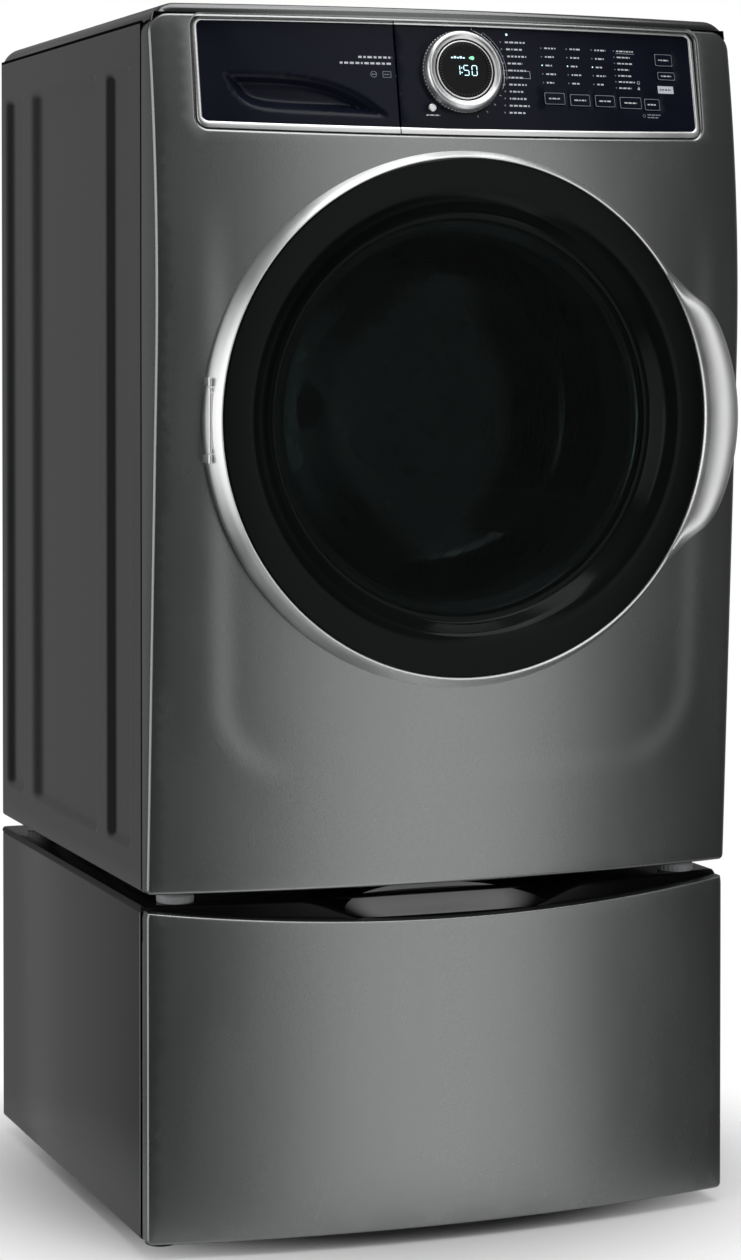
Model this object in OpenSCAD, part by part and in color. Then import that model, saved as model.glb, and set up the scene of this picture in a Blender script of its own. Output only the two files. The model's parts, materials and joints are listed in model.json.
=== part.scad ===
// Front load washing machine standing on its matching storage pedestal.
// Millimetres. +X to the right seen from the front, the front faces -Y, +Z up.
// Origin: middle of the footprint, on the floor.

/* [Overall] */
// Width of the washer and of its pedestal
body_w = 686; // [680:1:692]
// Depth of a side panel, from the front seam to its rear edge
side_d = 605; // [600:1:612]
// How far the door handle stands ahead of the front seam
door_reach = 100; // [100:1:103]
// How far the rear cover stands behind the side panels
rear_reach = 45; // [42:1:48]
// Height of the top of the washer above the floor
overall_h = 1346; // [1344:1:1350]
// Thickness of the painted sheet steel
sheet = 1.6; // [1.4:0.1:1.8]

/* [Front panel] */
// How much the front bulges forward across its width
front_bulge = 38; // [34:1:40]
// How far the lower front corner stands ahead of the seam
lean_low = 19; // [17:1:21]
// Forward lean of the lower front, mm per mm of height
lean_slope = 0.0575; // [0.05:0.0025:0.06]
// Radius of the upper front where it rolls back
roll_r = 1500; // [1400:20:1600]
// Radius of the round top corners seen from the front
corner_r = 30; // [24:1:34]

/* [Door] */
// Height of the door centre above the floor
door_z = 902; // [898:1:904]
// Outer radius of the silver door ring
ring_r = 294; // [292:1:295]
// Radius of the dark door glass
glass_r = 280; // [278:1:281]
// Radius of the deeper middle window
window_r = 236; // [230:1:240]

/* [Drum] */
// Inner radius of the drum
drum_r = 265; // [258:1:266]
// Outer radius of the tub
tub_r = 290; // [286:1:291]
// Height of one drum lifter above the drum wall
lifter_h = 55; // [40:1:60]

/* [Console] */
// Width of the console at its middle height
console_w = 592; // [580:1:600]
// Backward lean of the console, mm per mm of height
console_slope = 0.2; // [0.18:0.01:0.22]
// Outer radius of the programme knob
knob_r = 45.5; // [43:0.5:46]

/* [Pedestal] */
// Height of the deck the washer stands on
deck_z = 378; // [376:1:380]
// Height of the pedestal feet
foot_h = 15; // [12:1:16]
// How far the drawer front's corners stand ahead of the front seam
drawer_ahead = 16; // [14:1:18]
// Depth of the scoop in the drawer front's top edge
drawer_scoop = 20; // [16:1:24]

/* [Hidden] */
$fn = 96;

// ---- main reference values -------------------------------------------------
half_w = body_w / 2;
overall_d = door_reach + side_d + rear_reach;
seam_y = -overall_d / 2 + door_reach;      // plane of the seam between side and front
washer_z = deck_z + 15;                    // underside of the washer body
side_top = overall_h - 19;                 // top edge of a side panel
front_top = overall_h - 10;                // top edge of the front panel
front_r = (half_w * half_w + front_bulge * front_bulge) / (2 * front_bulge);
axis_y = seam_y + front_r - front_bulge;   // vertical axis that the front curves about
roll_z = 950;                              // height where the upper roll begins
lean_roll = lean_low + lean_slope * (roll_z - washer_z);
gap = 0.8;                                 // show gap between neighbouring covers

function yy(d) = seam_y + d;               // distance behind the seam -> Y
function lean(z) = lean_low + lean_slope * (z - washer_z);

titanium = [0.33, 0.34, 0.34];
dark_titanium = [0.25, 0.26, 0.26];
silver = [0.8, 0.81, 0.82];
navy = [0.07, 0.08, 0.14];
black = [0.06, 0.06, 0.065];
grey = [0.55, 0.56, 0.57];
steel = [0.66, 0.67, 0.68];
zinc = [0.5, 0.51, 0.53];

// ---- helpers ---------------------------------------------------------------
module along_y(y0, y1)
    translate([0, y1, 0]) rotate([90, 0, 0]) linear_extrude(y1 - y0) children();
module disc_y(r, y0, y1, x = 0, z = 0)
    translate([x, y0, z]) rotate([-90, 0, 0]) cylinder(r = r, h = y1 - y0);
// a (radius, y) profile turned about the axis of the drum
module turned(z = door_z)
    translate([0, 0, z]) rotate([-90, 0, 0]) rotate_extrude($fn = 180) children();
module box(x0, x1, y0, y1, z0, z1)
    translate([x0, y0, z0]) cube([x1 - x0, y1 - y0, z1 - z0]);
module rounded(x0, x1, z0, z1, rb, rt) {
    translate([x0 + rb, z0]) square([x1 - x0 - 2 * rb, max(rb, 0.01)]);
    translate([x0, z0 + rb]) square([x1 - x0, z1 - z0 - rb - rt]);
    translate([x0 + rt, z1 - rt]) square([x1 - x0 - 2 * rt, rt]);
    for (x = [x0 + rb, x1 - rb]) translate([x, z0 + rb]) circle(r = rb);
    for (x = [x0 + rt, x1 - rt]) translate([x, z1 - rt]) circle(r = rt);
}
module ring_2d(ro, ri) difference() { circle(r = ro); circle(r = ri); }

// ---- front surfaces, turned about a far vertical axis ------------------------
module front_sweep()
    translate([0, axis_y, 0]) rotate([0, 0, -105]) rotate_extrude(angle = 30, $fn = 720)
        children();
// (radius, height) section of the leaning front, grown outwards by grow
module lean_section(grow = 0, depth = 200, z0 = 300, z1 = 1400) {
    tilt = atan(lean_slope);
    inner = front_r - depth;
    intersection() {
        translate([inner, z0]) square([depth + 150, z1 - z0]);
        union() {
            polygon([[inner, 300], [front_r + lean(300) + grow, 300],
                [front_r + lean_roll + grow, roll_z], [inner, roll_z]]);
            intersection() {
                translate([inner, roll_z]) square([depth + 150, 500]);
                translate([front_r + lean_roll - roll_r * cos(tilt),
                    roll_z + roll_r * sin(tilt)]) circle(r = roll_r + grow, $fn = 720);
            }
        }
    }
}
console_z0 = 1212;
console_z1 = 1332;
console_lean = 42.5;                       // console lower edge ahead of the seam
smile = 4;                                 // how far the lower edge sags in its middle
smile_r = 5200;
function console_at(z) = console_lean - console_slope * (z - console_z0);
module console_section(grow = 0, depth = 160)
    polygon([[front_r - depth, 1190], [front_r + console_at(1190) + grow, 1190],
        [front_r + console_at(1345) + grow, 1345], [front_r - depth, 1345]]);
console_tilt = atan(console_slope);
// local frame on the console face: +Z out of the face, +Y up the face
module on_console(x, z) {
    r = front_r + console_at(z) - 2;
    a = asin(x / r);
    translate([x, axis_y - r * cos(a), z]) rotate([0, 0, a]) rotate([90 - console_tilt, 0, 0])
        children();
}
module console_outline(d = 0) {            // front view of the console frame
    h = console_w / 2 - d;
    corner = 12 - min(d, 6);
    rounded(-h, h, console_z0 + d, console_z1 - d, corner, corner);
    intersection() {                        // lower edge smiles below its corners
        translate([0, console_z0 - smile + smile_r + d]) circle(r = smile_r, $fn = 1440);
        translate([-h + 14, console_z0 - 12]) square([2 * h - 28, 20]);
    }
}
module front_outline(d = 0)
    rounded(-half_w + d, half_w - d, washer_z + d, overall_h - d, 6 - d, corner_r - d);

// ---- cabinet covers ----------------------------------------------------------
// embossed side panel: outline in (distance behind the seam, depth below the face)
emboss = 5;
pads = [[42, 110, 28], [175, 420, 43], [497, 551, 35]];   // start, end, rear bevel
module side_sheet(z0, z1, deep) {
    outer = concat([[0, 0]], [for (p = pads) each
        [[p[0], 0], [p[0] + 4, deep], [p[1], deep], [p[1] + p[2], 0]]], [[side_d, 0]]);
    back = [for (i = [len(outer) - 1:-1:0]) [outer[i][0], outer[i][1] + sheet]];
    translate([0, 0, z0]) linear_extrude(z1 - z0) polygon(concat(outer, back));
}
module side_panel() {                      // left side, face towards -X
    translate([-half_w, seam_y, 0]) rotate([0, 0, 90]) mirror([0, 1, 0]) {
        side_sheet(washer_z, 436, 0);
        side_sheet(436, 1279, emboss);
        side_sheet(1279, side_top, 0);
        for (z = [436 - sheet / 2, 1279 - sheet / 2]) for (p = pads)
            translate([0, 0, z]) linear_extrude(sheet) polygon([[p[0], 0],
                [p[0] + 4, emboss + sheet], [p[1], emboss + sheet], [p[1] + p[2], 0]]);
        translate([0, sheet / 2, washer_z]) cube([sheet, 14, side_top - washer_z]);
        translate([side_d - sheet, sheet / 2, washer_z]) cube([sheet, 14, side_top - washer_z]);
    }
}
module side_panel_left() { color(dark_titanium) side_panel(); }
module side_panel_right() { color(dark_titanium) mirror([1, 0, 0]) side_panel(); }

drain_out = [280, 1215];                   // drain outlet on the rear, x and z
gland = [-280, 1120];                      // inlet of the supply lead, x and z
inlet_x = [-150, -90];                     // hot and cold water inlets
inlet_z = 1290;
cover_r = 215;
module rear_panel() {
    color(dark_titanium) {
        along_y(yy(side_d - 2 * sheet), yy(side_d - sheet)) difference() {
            translate([-half_w + 3, washer_z]) square([body_w - 6, side_top - 1 - washer_z]);
            translate([0, door_z]) circle(r = cover_r - 15);
            for (x = inlet_x) translate([x, inlet_z]) circle(r = 16);
            translate(drain_out) circle(r = 18);
            translate(gland) circle(r = 9);
        }
        // moulded gland where the supply lead enters
        difference() {
            disc_y(12, yy(side_d - 6), yy(side_d + 8), gland[0], gland[1]);
            disc_y(4, yy(side_d - 7), yy(side_d + 9), gland[0], gland[1]);
        }
    }
}
module rear_cover() {
    y0 = yy(side_d - sheet);
    y1 = yy(side_d + rear_reach);
    color(dark_titanium) turned() polygon([[0, y1], [130, y1], [185, y0 + sheet],
        [cover_r, y0 + sheet], [cover_r, y0], [184, y0], [129, y1 - sheet], [0, y1 - sheet]]);
}
module top_cover() {
    color(dark_titanium) difference() {
        intersection() {
            along_y(yy(-130), yy(side_d)) front_outline(0);
            union() {
                front_sweep() lean_section(0, 60);
                box(-half_w, half_w, yy(-1), yy(side_d), 1200, overall_h);
            }
            union() {
                box(-half_w, half_w, yy(-130), yy(1), front_top, overall_h);
                box(-half_w, half_w, yy(0.5), yy(side_d), side_top, overall_h);
            }
        }
        intersection() {
            along_y(yy(-130), yy(side_d - 2)) front_outline(2);
            union() {
                front_sweep() lean_section(-2, 60);
                box(-half_w, half_w, yy(-1), yy(side_d - 2), 1200, overall_h);
            }
            box(-half_w, half_w, yy(-130), yy(side_d), 1200, overall_h - 2);
        }
    }
}

dish_r = 262;                              // round recess that the door closes into
mouth_r = 224;                             // radius of the loading mouth
dish_back = -24;
lock_x = 240;
module front_panel() {
    color(titanium) {
        difference() {
            intersection() {
                along_y(yy(-130), yy(-0.3)) front_outline(0);
                front_sweep() lean_section(0, 200, washer_z, front_top - 0.5);
            }
            intersection() {
                along_y(yy(-130), yy(10)) front_outline(sheet);
                front_sweep() lean_section(-sheet, 200, washer_z, front_top - 0.5 - sheet);
            }
            disc_y(dish_r, yy(-120), yy(10), 0, door_z);
            along_y(yy(-120), yy(10)) console_outline(-gap);
        }
        difference() {                      // conical dish behind the door
            intersection() {
                turned() polygon([[dish_r + sheet, yy(-105)], [dish_r, yy(-105)],
                    [dish_r, yy(-60)], [mouth_r, yy(dish_back)], [mouth_r, yy(dish_back + 5)],
                    [mouth_r + sheet, yy(dish_back + 5)], [mouth_r + sheet, yy(dish_back + 0.7)],
                    [dish_r + sheet, yy(-59)]]);
                front_sweep() lean_section(0, 200);
            }
            box(lock_x - 9, lock_x + 9, yy(-60), yy(-10), door_z - 17, door_z + 17);
        }
        intersection() {                    // collar around the console opening
            along_y(yy(-110), yy(-12)) difference() {
                console_outline(-gap - sheet);
                console_outline(-gap);
            }
            front_sweep() lean_section(0, 200);
        }
    }
}
module base_frame() {
    z = washer_z;
    color(zinc) {
        difference() {
            box(-half_w + 4, half_w - 4, yy(4), yy(side_d - 5), z, z + 26);
            box(-half_w + 44, half_w - 44, yy(44), yy(side_d - 45), z - 1, z + 27);
            box(-half_w + 6, half_w - 6, yy(6), yy(side_d - 7), z + 2, z + 24);
        }
        for (x = [-1, 1], d = damper_d)      // damper seats on two cross members
            translate([x * damper_x, yy(d), z + 24]) cylinder(r = 16, h = 10);
        for (d = damper_d) box(-half_w + 40, half_w - 40, yy(d) - 18, yy(d) + 18, z + 20, z + 26);
        box(-50, 170, yy(40), yy(damper_d[0]), z + 20, z + 24);
    }
}
module top_rails() {
    z = side_top - 12;
    color(zinc) {
        for (s = [-1, 1]) mirror([s < 0 ? 1 : 0, 0, 0]) difference() {
            union() {
                box(215, half_w - 8.5, yy(30), yy(side_d - 6), z, z + 3);
                box(215, 217, yy(30), yy(side_d - 6), z - 10, z + 3);
            }
            for (d = spring_d) translate([spring_x, yy(d), z - 1]) cylinder(r = 5, h = 6);
        }
        box(-215, 215, yy(side_d - 45), yy(side_d - 6), z, z + 3);
        box(-215, 215, yy(30), yy(60), z, z + 3);
    }
}
washer_foot = [300, 18];                   // x, and distance behind the seam
module washer_feet() {
    color([0.78, 0.79, 0.8]) for (x = [-1, 1], d = [washer_foot[1], side_d - 40])
        translate([x * washer_foot[0], yy(d), deck_z]) {
            cylinder(r = 20, h = 8);
            translate([0, 0, 8]) cylinder(r1 = 20, r2 = 14, h = 4);
            translate([0, 0, 12]) cylinder(r = 14, h = washer_z - deck_z - 12);
        }
}

// ---- console -------------------------------------------------------------------
split_x = -75;                             // seam between drawer front and controls
module console_band(grow_out, grow_in, x0, x1, y1 = -10) {
    intersection() {
        difference() {
            front_sweep() console_section(grow_out);
            front_sweep() console_section(grow_in, 180);
        }
        box(x0, x1, yy(-110), yy(y1), 1195, 1340);
    }
}
module trim_ring() difference() {
    console_outline(0);
    translate([0, 1.5]) console_outline(6);
}
module console_trim() {
    color(silver) intersection() {
        console_band(0, -16, split_x + 0.6, 310);
        along_y(yy(-110), yy(0)) trim_ring();
    }
}
// key name, x, z, width, height
keys = [["key_power", -36.5, 1237.5, 9, 9], ["key_temp", 110, 1251, 26, 14],
    ["key_soil", 141.5, 1250, 26, 14], ["key_spin", 173, 1250, 26, 14],
    ["key_options", 206, 1249, 29, 14], ["key_select", 234, 1248, 21, 14],
    ["key_start", 254, 1299, 24, 14.5], ["key_cancel", 256, 1281, 24, 10]];
module key_shape(k, d = 0) {
    if (k[3] < 12) circle(r = k[3] / 2 + d);
    else translate([-k[3] / 2 - d, -k[4] / 2 - d]) square([k[3] + 2 * d, k[4] + 2 * d]);
}
knob_z = 1277;
module control_fascia() {
    color(navy) difference() {
        intersection() {
            console_band(-1, -5, split_x + 1.4, 310);
            along_y(yy(-110), yy(0)) translate([0, 1.5]) console_outline(6.3);
        }
        on_console(0, knob_z) translate([0, 0, -20]) cylinder(r = knob_r + 0.6, h = 40);
        for (k = keys) on_console(k[1], k[2]) translate([0, 0, -20])
            linear_extrude(40) key_shape(k, 0.35);
    }
}
module key_cap(i) {
    k = keys[i];
    stem = 22;
    color(navy) on_console(k[1], k[2]) {
        translate([0, 0, -4]) linear_extrude(5.6) key_shape(k);
        translate([0, 0, -4 - stem]) cylinder(r = 2.2, h = stem + 0.5);
    }
}
board_y = -10;
module control_board() {
    color([0.1, 0.3, 0.16]) box(-52, 284, yy(board_y + 4), yy(board_y + 6), 1222, 1310);
    color(black) {
        for (x = [70, 110, 150, 190, 230]) box(x, x + 22, yy(board_y + 6), yy(board_y + 20),
            1262, 1284);
        box(-40, 40, yy(board_y + 6), yy(board_y + 30), 1235, 1300);
    }
}
disc_r = 34;
module display_disc() {
    color(black) difference() {
        on_console(0, knob_z) {
            translate([0, 0, -9]) cylinder(r = disc_r, h = 22);
            translate([0, 0, -12]) cylinder(r = 44, h = 3);
            translate([0, 0, -70]) cylinder(r = 20, h = 58.5);
        }
        box(-60, 60, yy(board_y + 4), yy(60), 1200, 1330);   // stem ends at the board
    }
}
module cycle_knob() {
    color(silver) on_console(0, knob_z) rotate_extrude() polygon([[disc_r + 0.5, -7],
        [knob_r, -7], [knob_r, 5], [knob_r - 2, 12], [knob_r - 4, 14], [knob_r - 7, 14],
        [disc_r + 0.5, 12.6]]);
}

// ---- detergent dispenser ---------------------------------------------------------
tray = [-292, -92, 1228, 1298];            // x0, x1, z0, z1
tray_d = 205;                              // rear end of the tray behind the seam
module dispenser_housing() {
    color([0.72, 0.73, 0.74]) difference() {
        box(tray[0] - 5, tray[1] + 5, yy(-10), yy(tray_d + 14), tray[2] - 5, tray[3] + 6);
        box(tray[0] - 2.5, tray[1] + 2.5, yy(-11), yy(tray_d + 11), tray[2] - 2, tray[3] + 2);
        translate([fill_x, yy(fill_d), tray[2] - 8]) cylinder(r = 15, h = 10);
    }
}
module detergent_front() {
    color(navy) difference() {
        intersection() {
            console_band(0, -16, -310, split_x - 0.6);
            along_y(yy(-110), yy(0)) console_outline(0);
        }
        // leaf shaped finger recess
        intersection() {
            console_band(5, -12, -310, split_x);
            along_y(yy(-110), yy(0)) intersection() {
                translate([-178, 1272 - 320]) circle(r = 324, $fn = 360);
                translate([-190, 1225 + 165]) circle(r = 165, $fn = 360);
                translate([-279, 1222]) square([196, 60]);
            }
        }
    }
}
module detergent_tray() {
    x0 = tray[0];
    x1 = tray[1];
    color([0.82, 0.84, 0.87]) {
        difference() {
            box(x0, x1, yy(-19), yy(tray_d), tray[2], tray[3]);
            box(x0 + 3, -212, yy(0), yy(tray_d - 3), tray[2] + 3, tray[3] + 1);
            box(-209, -142, yy(0), yy(tray_d - 3), tray[2] + 3, tray[3] + 1);
            box(-139, x1 - 3, yy(0), yy(tray_d - 3), tray[2] + 3, tray[3] + 1);
        }
        intersection() {                    // block that carries the drawer front
            box(x0 + 8, x1 - 6, yy(-70), yy(-18), tray[2] + 2, tray[3] - 4);
            front_sweep() console_section(-16, 180);
        }
    }
}

// ---- water parts -------------------------------------------------------------------
fill_x = -190;
fill_d = 170;
pump = [60, 82, 456];                      // x, distance behind the seam, z of the axis
module inlet_valves() {
    color([0.85, 0.86, 0.88]) for (x = inlet_x) {
        disc_y(15, yy(side_d - 34), yy(side_d + 2), x, inlet_z);
        disc_y(13.3, yy(side_d), yy(side_d + 22), x, inlet_z);
        box(x - 14, x + 14, yy(side_d - 42), yy(side_d - 12), inlet_z - 30, inlet_z - 6);
        disc_y(6, yy(side_d - 60), yy(side_d - 30), x, inlet_z);
    }
}
module pipe(a, b, r) {                     // straight pipe between two points
    v = b - a;
    h = norm(v);
    translate(a) rotate([0, acos(v[2] / h), atan2(v[1], v[0])]) cylinder(r = r, h = h, $fn = 32);
    translate(b) sphere(r = r + 1, $fn = 32);
}
drain_route = [[pump[0] + 44.6, yy(pump[1]), pump[2]], [300, yy(90), pump[2]],
    [300, yy(575), pump[2]], [300, yy(575), drain_out[1]], [drain_out[0], yy(590), drain_out[1]]];
module internal_hoses() {
    color(black) {
        for (i = [0:len(drain_route) - 2]) pipe(drain_route[i], drain_route[i + 1], 12);
        disc_y(15.5, yy(590), yy(side_d), drain_out[0], drain_out[1]);
        disc_y(12, yy(side_d - 1), yy(side_d + 36), drain_out[0], drain_out[1]);
        for (i = [0, 1]) pipe([inlet_x[i], yy(side_d - 61), inlet_z],
            [-170 + 40 * i, yy(tray_d + 21), inlet_z - 4], 6);
    }
}
module drain_pump() {
    color([0.75, 0.76, 0.77]) {
        translate([pump[0], yy(pump[1]), pump[2]]) {
            disc_y(36, -26, 26);
            disc_y(28, 26, 80);
            cylinder(r = 17, h = 52);
            rotate([0, 90, 0]) cylinder(r = 14, h = 44);
        }
        box(pump[0] - 30, pump[0] + 30, yy(pump[1] - 20), yy(pump[1] + 48), washer_z + 24,
            pump[2] - 20);
    }
}
module tub_hoses() {
    color(black) {
        translate([fill_x, yy(fill_d), 0]) for (z = [1146:12:1206])
            translate([0, 0, z]) rotate_extrude() polygon([[16, 0], [21, 6], [16, 12], [13, 12],
                [18, 6], [13, 0]]);
        translate([pump[0], yy(pump[1]), 0]) for (z = [510:14:566])
            translate([0, 0, z]) rotate_extrude() polygon([[22, 0], [28, 7], [22, 14], [19, 14],
                [25, 7], [19, 0]]);
    }
}

// ---- suspension ----------------------------------------------------------------------
damper_x = 215;
damper_d = [150, 400];
spring_x = 240;
spring_d = [275, 430];
damper_low = washer_z + 34;
lug_z = 688;                               // underside of the tub's damper lugs
module damper_cylinders() {
    color(grey) for (x = [-1, 1], d = damper_d) translate([x * damper_x, yy(d), damper_low])
        difference() {
            cylinder(r = 17, h = 130);
            translate([0, 0, 8]) cylinder(r = 9, h = 130);
        }
}
module damper_rods() {
    color(steel) for (x = [-1, 1], d = damper_d) translate([x * damper_x, yy(d), 0]) {
        translate([0, 0, damper_low + 40]) cylinder(r = 6, h = lug_z - damper_low - 40);
        translate([0, 0, damper_low + 40]) cylinder(r = 8.7, h = 12);
    }
}
spring_low = 1104;
module suspension_springs() {
    color(steel) for (x = [-1, 1], d = spring_d) translate([x * spring_x, yy(d), 0]) {
        translate([0, 0, spring_low + 12]) difference() {
            cylinder(r = 13, h = 150);
            translate([0, 0, 4]) cylinder(r = 10, h = 142);
        }
        translate([0, 0, spring_low + 0.5]) cylinder(r = 3, h = 13);
        translate([0, 0, spring_low + 160]) cylinder(r = 3, h = side_top - 9 - spring_low - 160);
        translate([0, 0, side_top - 9]) cylinder(r = 8, h = 3);
    }
}

// ---- tub -----------------------------------------------------------------------------
tub_y0 = 28;
tub_joint = 120;
tub_y1 = 512;
module tub_front() {
    color([0.78, 0.79, 0.8]) difference() {   // sump outlet
        translate([pump[0], yy(pump[1]), 583]) cylinder(r = 20, h = 50);
        translate([pump[0], yy(pump[1]), 582]) cylinder(r = 16, h = 30);
        disc_y(tub_r - 4, yy(tub_y0), yy(tub_joint), 0, door_z);
    }
    color([0.78, 0.79, 0.8]) turned() {
        polygon([[mouth_r + 1, yy(tub_y0)], [tub_r, yy(tub_y0)], [tub_r, yy(tub_joint)],
            [tub_r - 4, yy(tub_joint)], [tub_r - 4, yy(tub_y0 + 4)], [mouth_r + 1, yy(tub_y0 + 4)]]);
        translate([tub_r - 1, yy(tub_joint - 8)]) square([9, 8]);
    }
}
module tub_rear() {
    color([0.78, 0.79, 0.8]) {
        difference() {
            union() {
                turned() {
                    polygon([[tub_r - 4, yy(tub_joint)], [tub_r, yy(tub_joint)],
                        [tub_r, yy(tub_y1)], [28, yy(tub_y1)], [28, yy(tub_y1 - 4)],
                        [tub_r - 4, yy(tub_y1 - 4)]]);
                    translate([tub_r - 1, yy(tub_joint)]) square([9, 8]);
                    translate([28, yy(tub_y1 - 12)]) square([18, 42]);
                }
                for (a = [15:30:345]) translate([0, 0, door_z]) rotate([0, a, 0])
                    box(40, tub_r - 6, yy(tub_y1 - 1), yy(tub_y1 + 14), -2.5, 2.5);
                for (x = [-1, 1], d = damper_d) translate([x * damper_x, yy(d), 0])
                    translate([0, 0, lug_z]) cylinder(r = 14, h = 30);
                for (x = [-1, 1], d = spring_d) translate([x * spring_x, yy(d), 0])
                    translate([0, 0, 1040]) cylinder(r = 12, h = spring_low - 1040);
                translate([fill_x, yy(fill_d), 1100]) cylinder(r = 16, h = 45);
                box(-70, 70, yy(300), yy(490), 606, 618);
            }
            disc_y(tub_r - 4, yy(tub_joint - 1), yy(tub_y1 - 4), 0, door_z);
        }
    }
}
module counterweights() {
    color([0.42, 0.42, 0.41]) {
        // lower ring weight in front, between tub and front panel
        intersection() {
            turned() polygon([[mouth_r + 8, yy(2)], [tub_r - 4, yy(2)], [tub_r - 4, yy(tub_y0)],
                [mouth_r + 8, yy(tub_y0)]]);
            box(-300, 300, yy(-10), yy(60), 560, door_z - 40);
        }
        difference() {                      // block on top of the tub
            box(-110, 110, yy(250), yy(470), 1150, 1248);
            disc_y(tub_r, yy(240), yy(480), 0, door_z);
        }
    }
}
shaft_r = 15;
module drum_bearings() {
    color(steel) turned() {
        for (d = [-10, 12]) translate([shaft_r, yy(tub_y1 + d)]) square([13, 16]);
    }
}
motor_c = [0, 532];                        // x, z of the motor axis
module motor_housing() {
    color(zinc) {
        difference() {
            disc_y(70, yy(310), yy(480), motor_c[0], motor_c[1]);
            disc_y(9.05, yy(309), yy(481), motor_c[0], motor_c[1]);
        }
        for (y = [322, 462]) difference() {
            box(-50, 50, yy(y), yy(y + 10), motor_c[1] + 30, 606);
            disc_y(60, yy(y - 1), yy(y + 11), motor_c[0], motor_c[1]);
        }
    }
}
pulley_r = 150;
pinion_r = 15;
belt_y = [548, 560];
module belt_area(r1, r2) {
    d = door_z - motor_c[1];
    a = acos((r1 - r2) / d);
    translate([0, door_z]) circle(r = r1);
    translate(motor_c) circle(r = r2);
    polygon([[r1 * sin(a), door_z - r1 * cos(a)], [r2 * sin(a), motor_c[1] - r2 * cos(a)],
        [-r2 * sin(a), motor_c[1] - r2 * cos(a)], [-r1 * sin(a), door_z - r1 * cos(a)]]);
}
module drive_belt() {
    color(black) along_y(yy(belt_y[0]), yy(belt_y[1])) difference() {
        belt_area(pulley_r + 3.3, pinion_r + 3.3);
        belt_area(pulley_r + 0.3, pinion_r + 0.3);
    }
}

// ---- drum ---------------------------------------------------------------------------
drum_y0 = 50;
drum_y1 = 484;
module drum_shell() {
    color(steel) turned() {
        polygon([[drum_r, yy(drum_y0 + 20)], [drum_r + 1.6, yy(drum_y0 + 20)],
            [drum_r + 1.6, yy(drum_y1)], [30, yy(drum_y1)], [30, yy(drum_y1 - 1.6)],
            [drum_r, yy(drum_y1 - 1.6)]]);
        polygon([[drum_r, yy(drum_y0 + 20)], [drum_r + 1.6, yy(drum_y0 + 20)],
            [235, yy(drum_y0)], [233, yy(drum_y0 + 2)]]);
    }
}
module drum_spider() {
    color(zinc) {
        disc_y(shaft_r - 0.05, yy(drum_y1 + 0.5), yy(belt_y[1] + 6), 0, door_z);
        disc_y(27, yy(drum_y1 - 6), yy(drum_y1 + 3), 0, door_z);
        for (a = [30, 150, 270]) translate([0, 0, door_z]) rotate([0, a, 0])
            box(10, drum_r - 2, yy(drum_y1), yy(drum_y1 + 12), -14, 14);
    }
}
module drum_lifters() {
    color(steel) for (a = [90, 210, 330]) translate([0, 0, door_z]) rotate([0, -a, 0])
        translate([0, yy(drum_y1 - 60), 0]) rotate([90, 0, 0]) linear_extrude(310)
            intersection() {
                polygon([[drum_r + 5, -34], [drum_r - lifter_h + 10, -14],
                    [drum_r - lifter_h, 0], [drum_r - lifter_h + 10, 14], [drum_r + 5, 34]]);
                circle(r = drum_r);
            }
}
module drum_pulley() {
    color(zinc) translate([0, 0, door_z]) {
        along_y(yy(belt_y[0] - 1), yy(belt_y[1] + 1)) ring_2d(pulley_r, pulley_r - 9);
        along_y(yy(belt_y[0]), yy(belt_y[1])) ring_2d(24, shaft_r);
        for (a = [0:60:300]) rotate([0, a, 0])
            box(22, pulley_r - 8, yy(belt_y[0] + 2), yy(belt_y[1] - 3), -7, 7);
    }
}
module motor_pulley() {
    color(steel) {
        disc_y(pinion_r, yy(belt_y[0] - 2), yy(belt_y[1] + 2), motor_c[0], motor_c[1]);
        disc_y(9, yy(330), yy(belt_y[0]), motor_c[0], motor_c[1]);
    }
}
module door_gasket() {
    color(grey) turned() polygon([[mouth_r - 0.4, yy(-28)], [mouth_r - 0.4, yy(-12)],
        [212, yy(-4)], [mouth_r - 1, yy(8)], [212, yy(18)], [mouth_r - 1, yy(27)],
        [mouth_r - 4.5, yy(27)], [208, yy(18)], [219, yy(8)], [208, yy(-4)],
        [218, yy(-12)], [201, yy(-17)], [201, yy(-20)], [219, yy(-17)],
        [mouth_r - 4, yy(-28)]]);
}

// ---- door ---------------------------------------------------------------------------
hinge_x = -291;
hinge_d = -80;
glass_d = -92;                             // plane of the glass edge
module hinge_line(r, z0, z1)
    translate([hinge_x, yy(hinge_d), door_z + z0]) cylinder(r = r, h = z1 - z0);
module hinge_notch() {
    hinge_line(7, -50, 50);
    box(hinge_x - 8, hinge_x + 13.5, yy(hinge_d - 4), yy(-50), door_z - 50, door_z + 50);
}
module handle_area() {                     // crescent grip seen from the front
    difference() {
        union() {
            intersection() {
                translate([322 - 235, door_z]) circle(r = 235, $fn = 180);
                translate([180, door_z - 122]) square([160, 244]);
            }
            for (s = [-1, 1]) polygon([[220, door_z + s * 178], [252, door_z + s * 164],
                [287, door_z + s * 121.5], [220, door_z + s * 121]]);
        }
        translate([0, door_z]) circle(r = glass_r + 1, $fn = 180);
    }
}
module door_ring() {
    color(silver) difference() {
        union() {
            turned() polygon([[glass_r + 0.5, yy(-62)], [ring_r, yy(-62)], [ring_r, yy(-70)],
                [glass_r + 3, yy(-93)], [glass_r + 0.5, yy(-93)]]);
            difference() {
                along_y(yy(-door_reach), yy(-80)) handle_area();
                disc_y(glass_r + 0.5, yy(-110), yy(-50), 0, door_z);
            }
            intersection() {                // grip closes down to the ring at its ends
                along_y(yy(-82), yy(-72)) handle_area();
                disc_y(ring_r + 3, yy(-110), yy(-50), 0, door_z);
            }
        }
        front_sweep() lean_section(1.2, 260);
        hinge_notch();
    }
}
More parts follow.
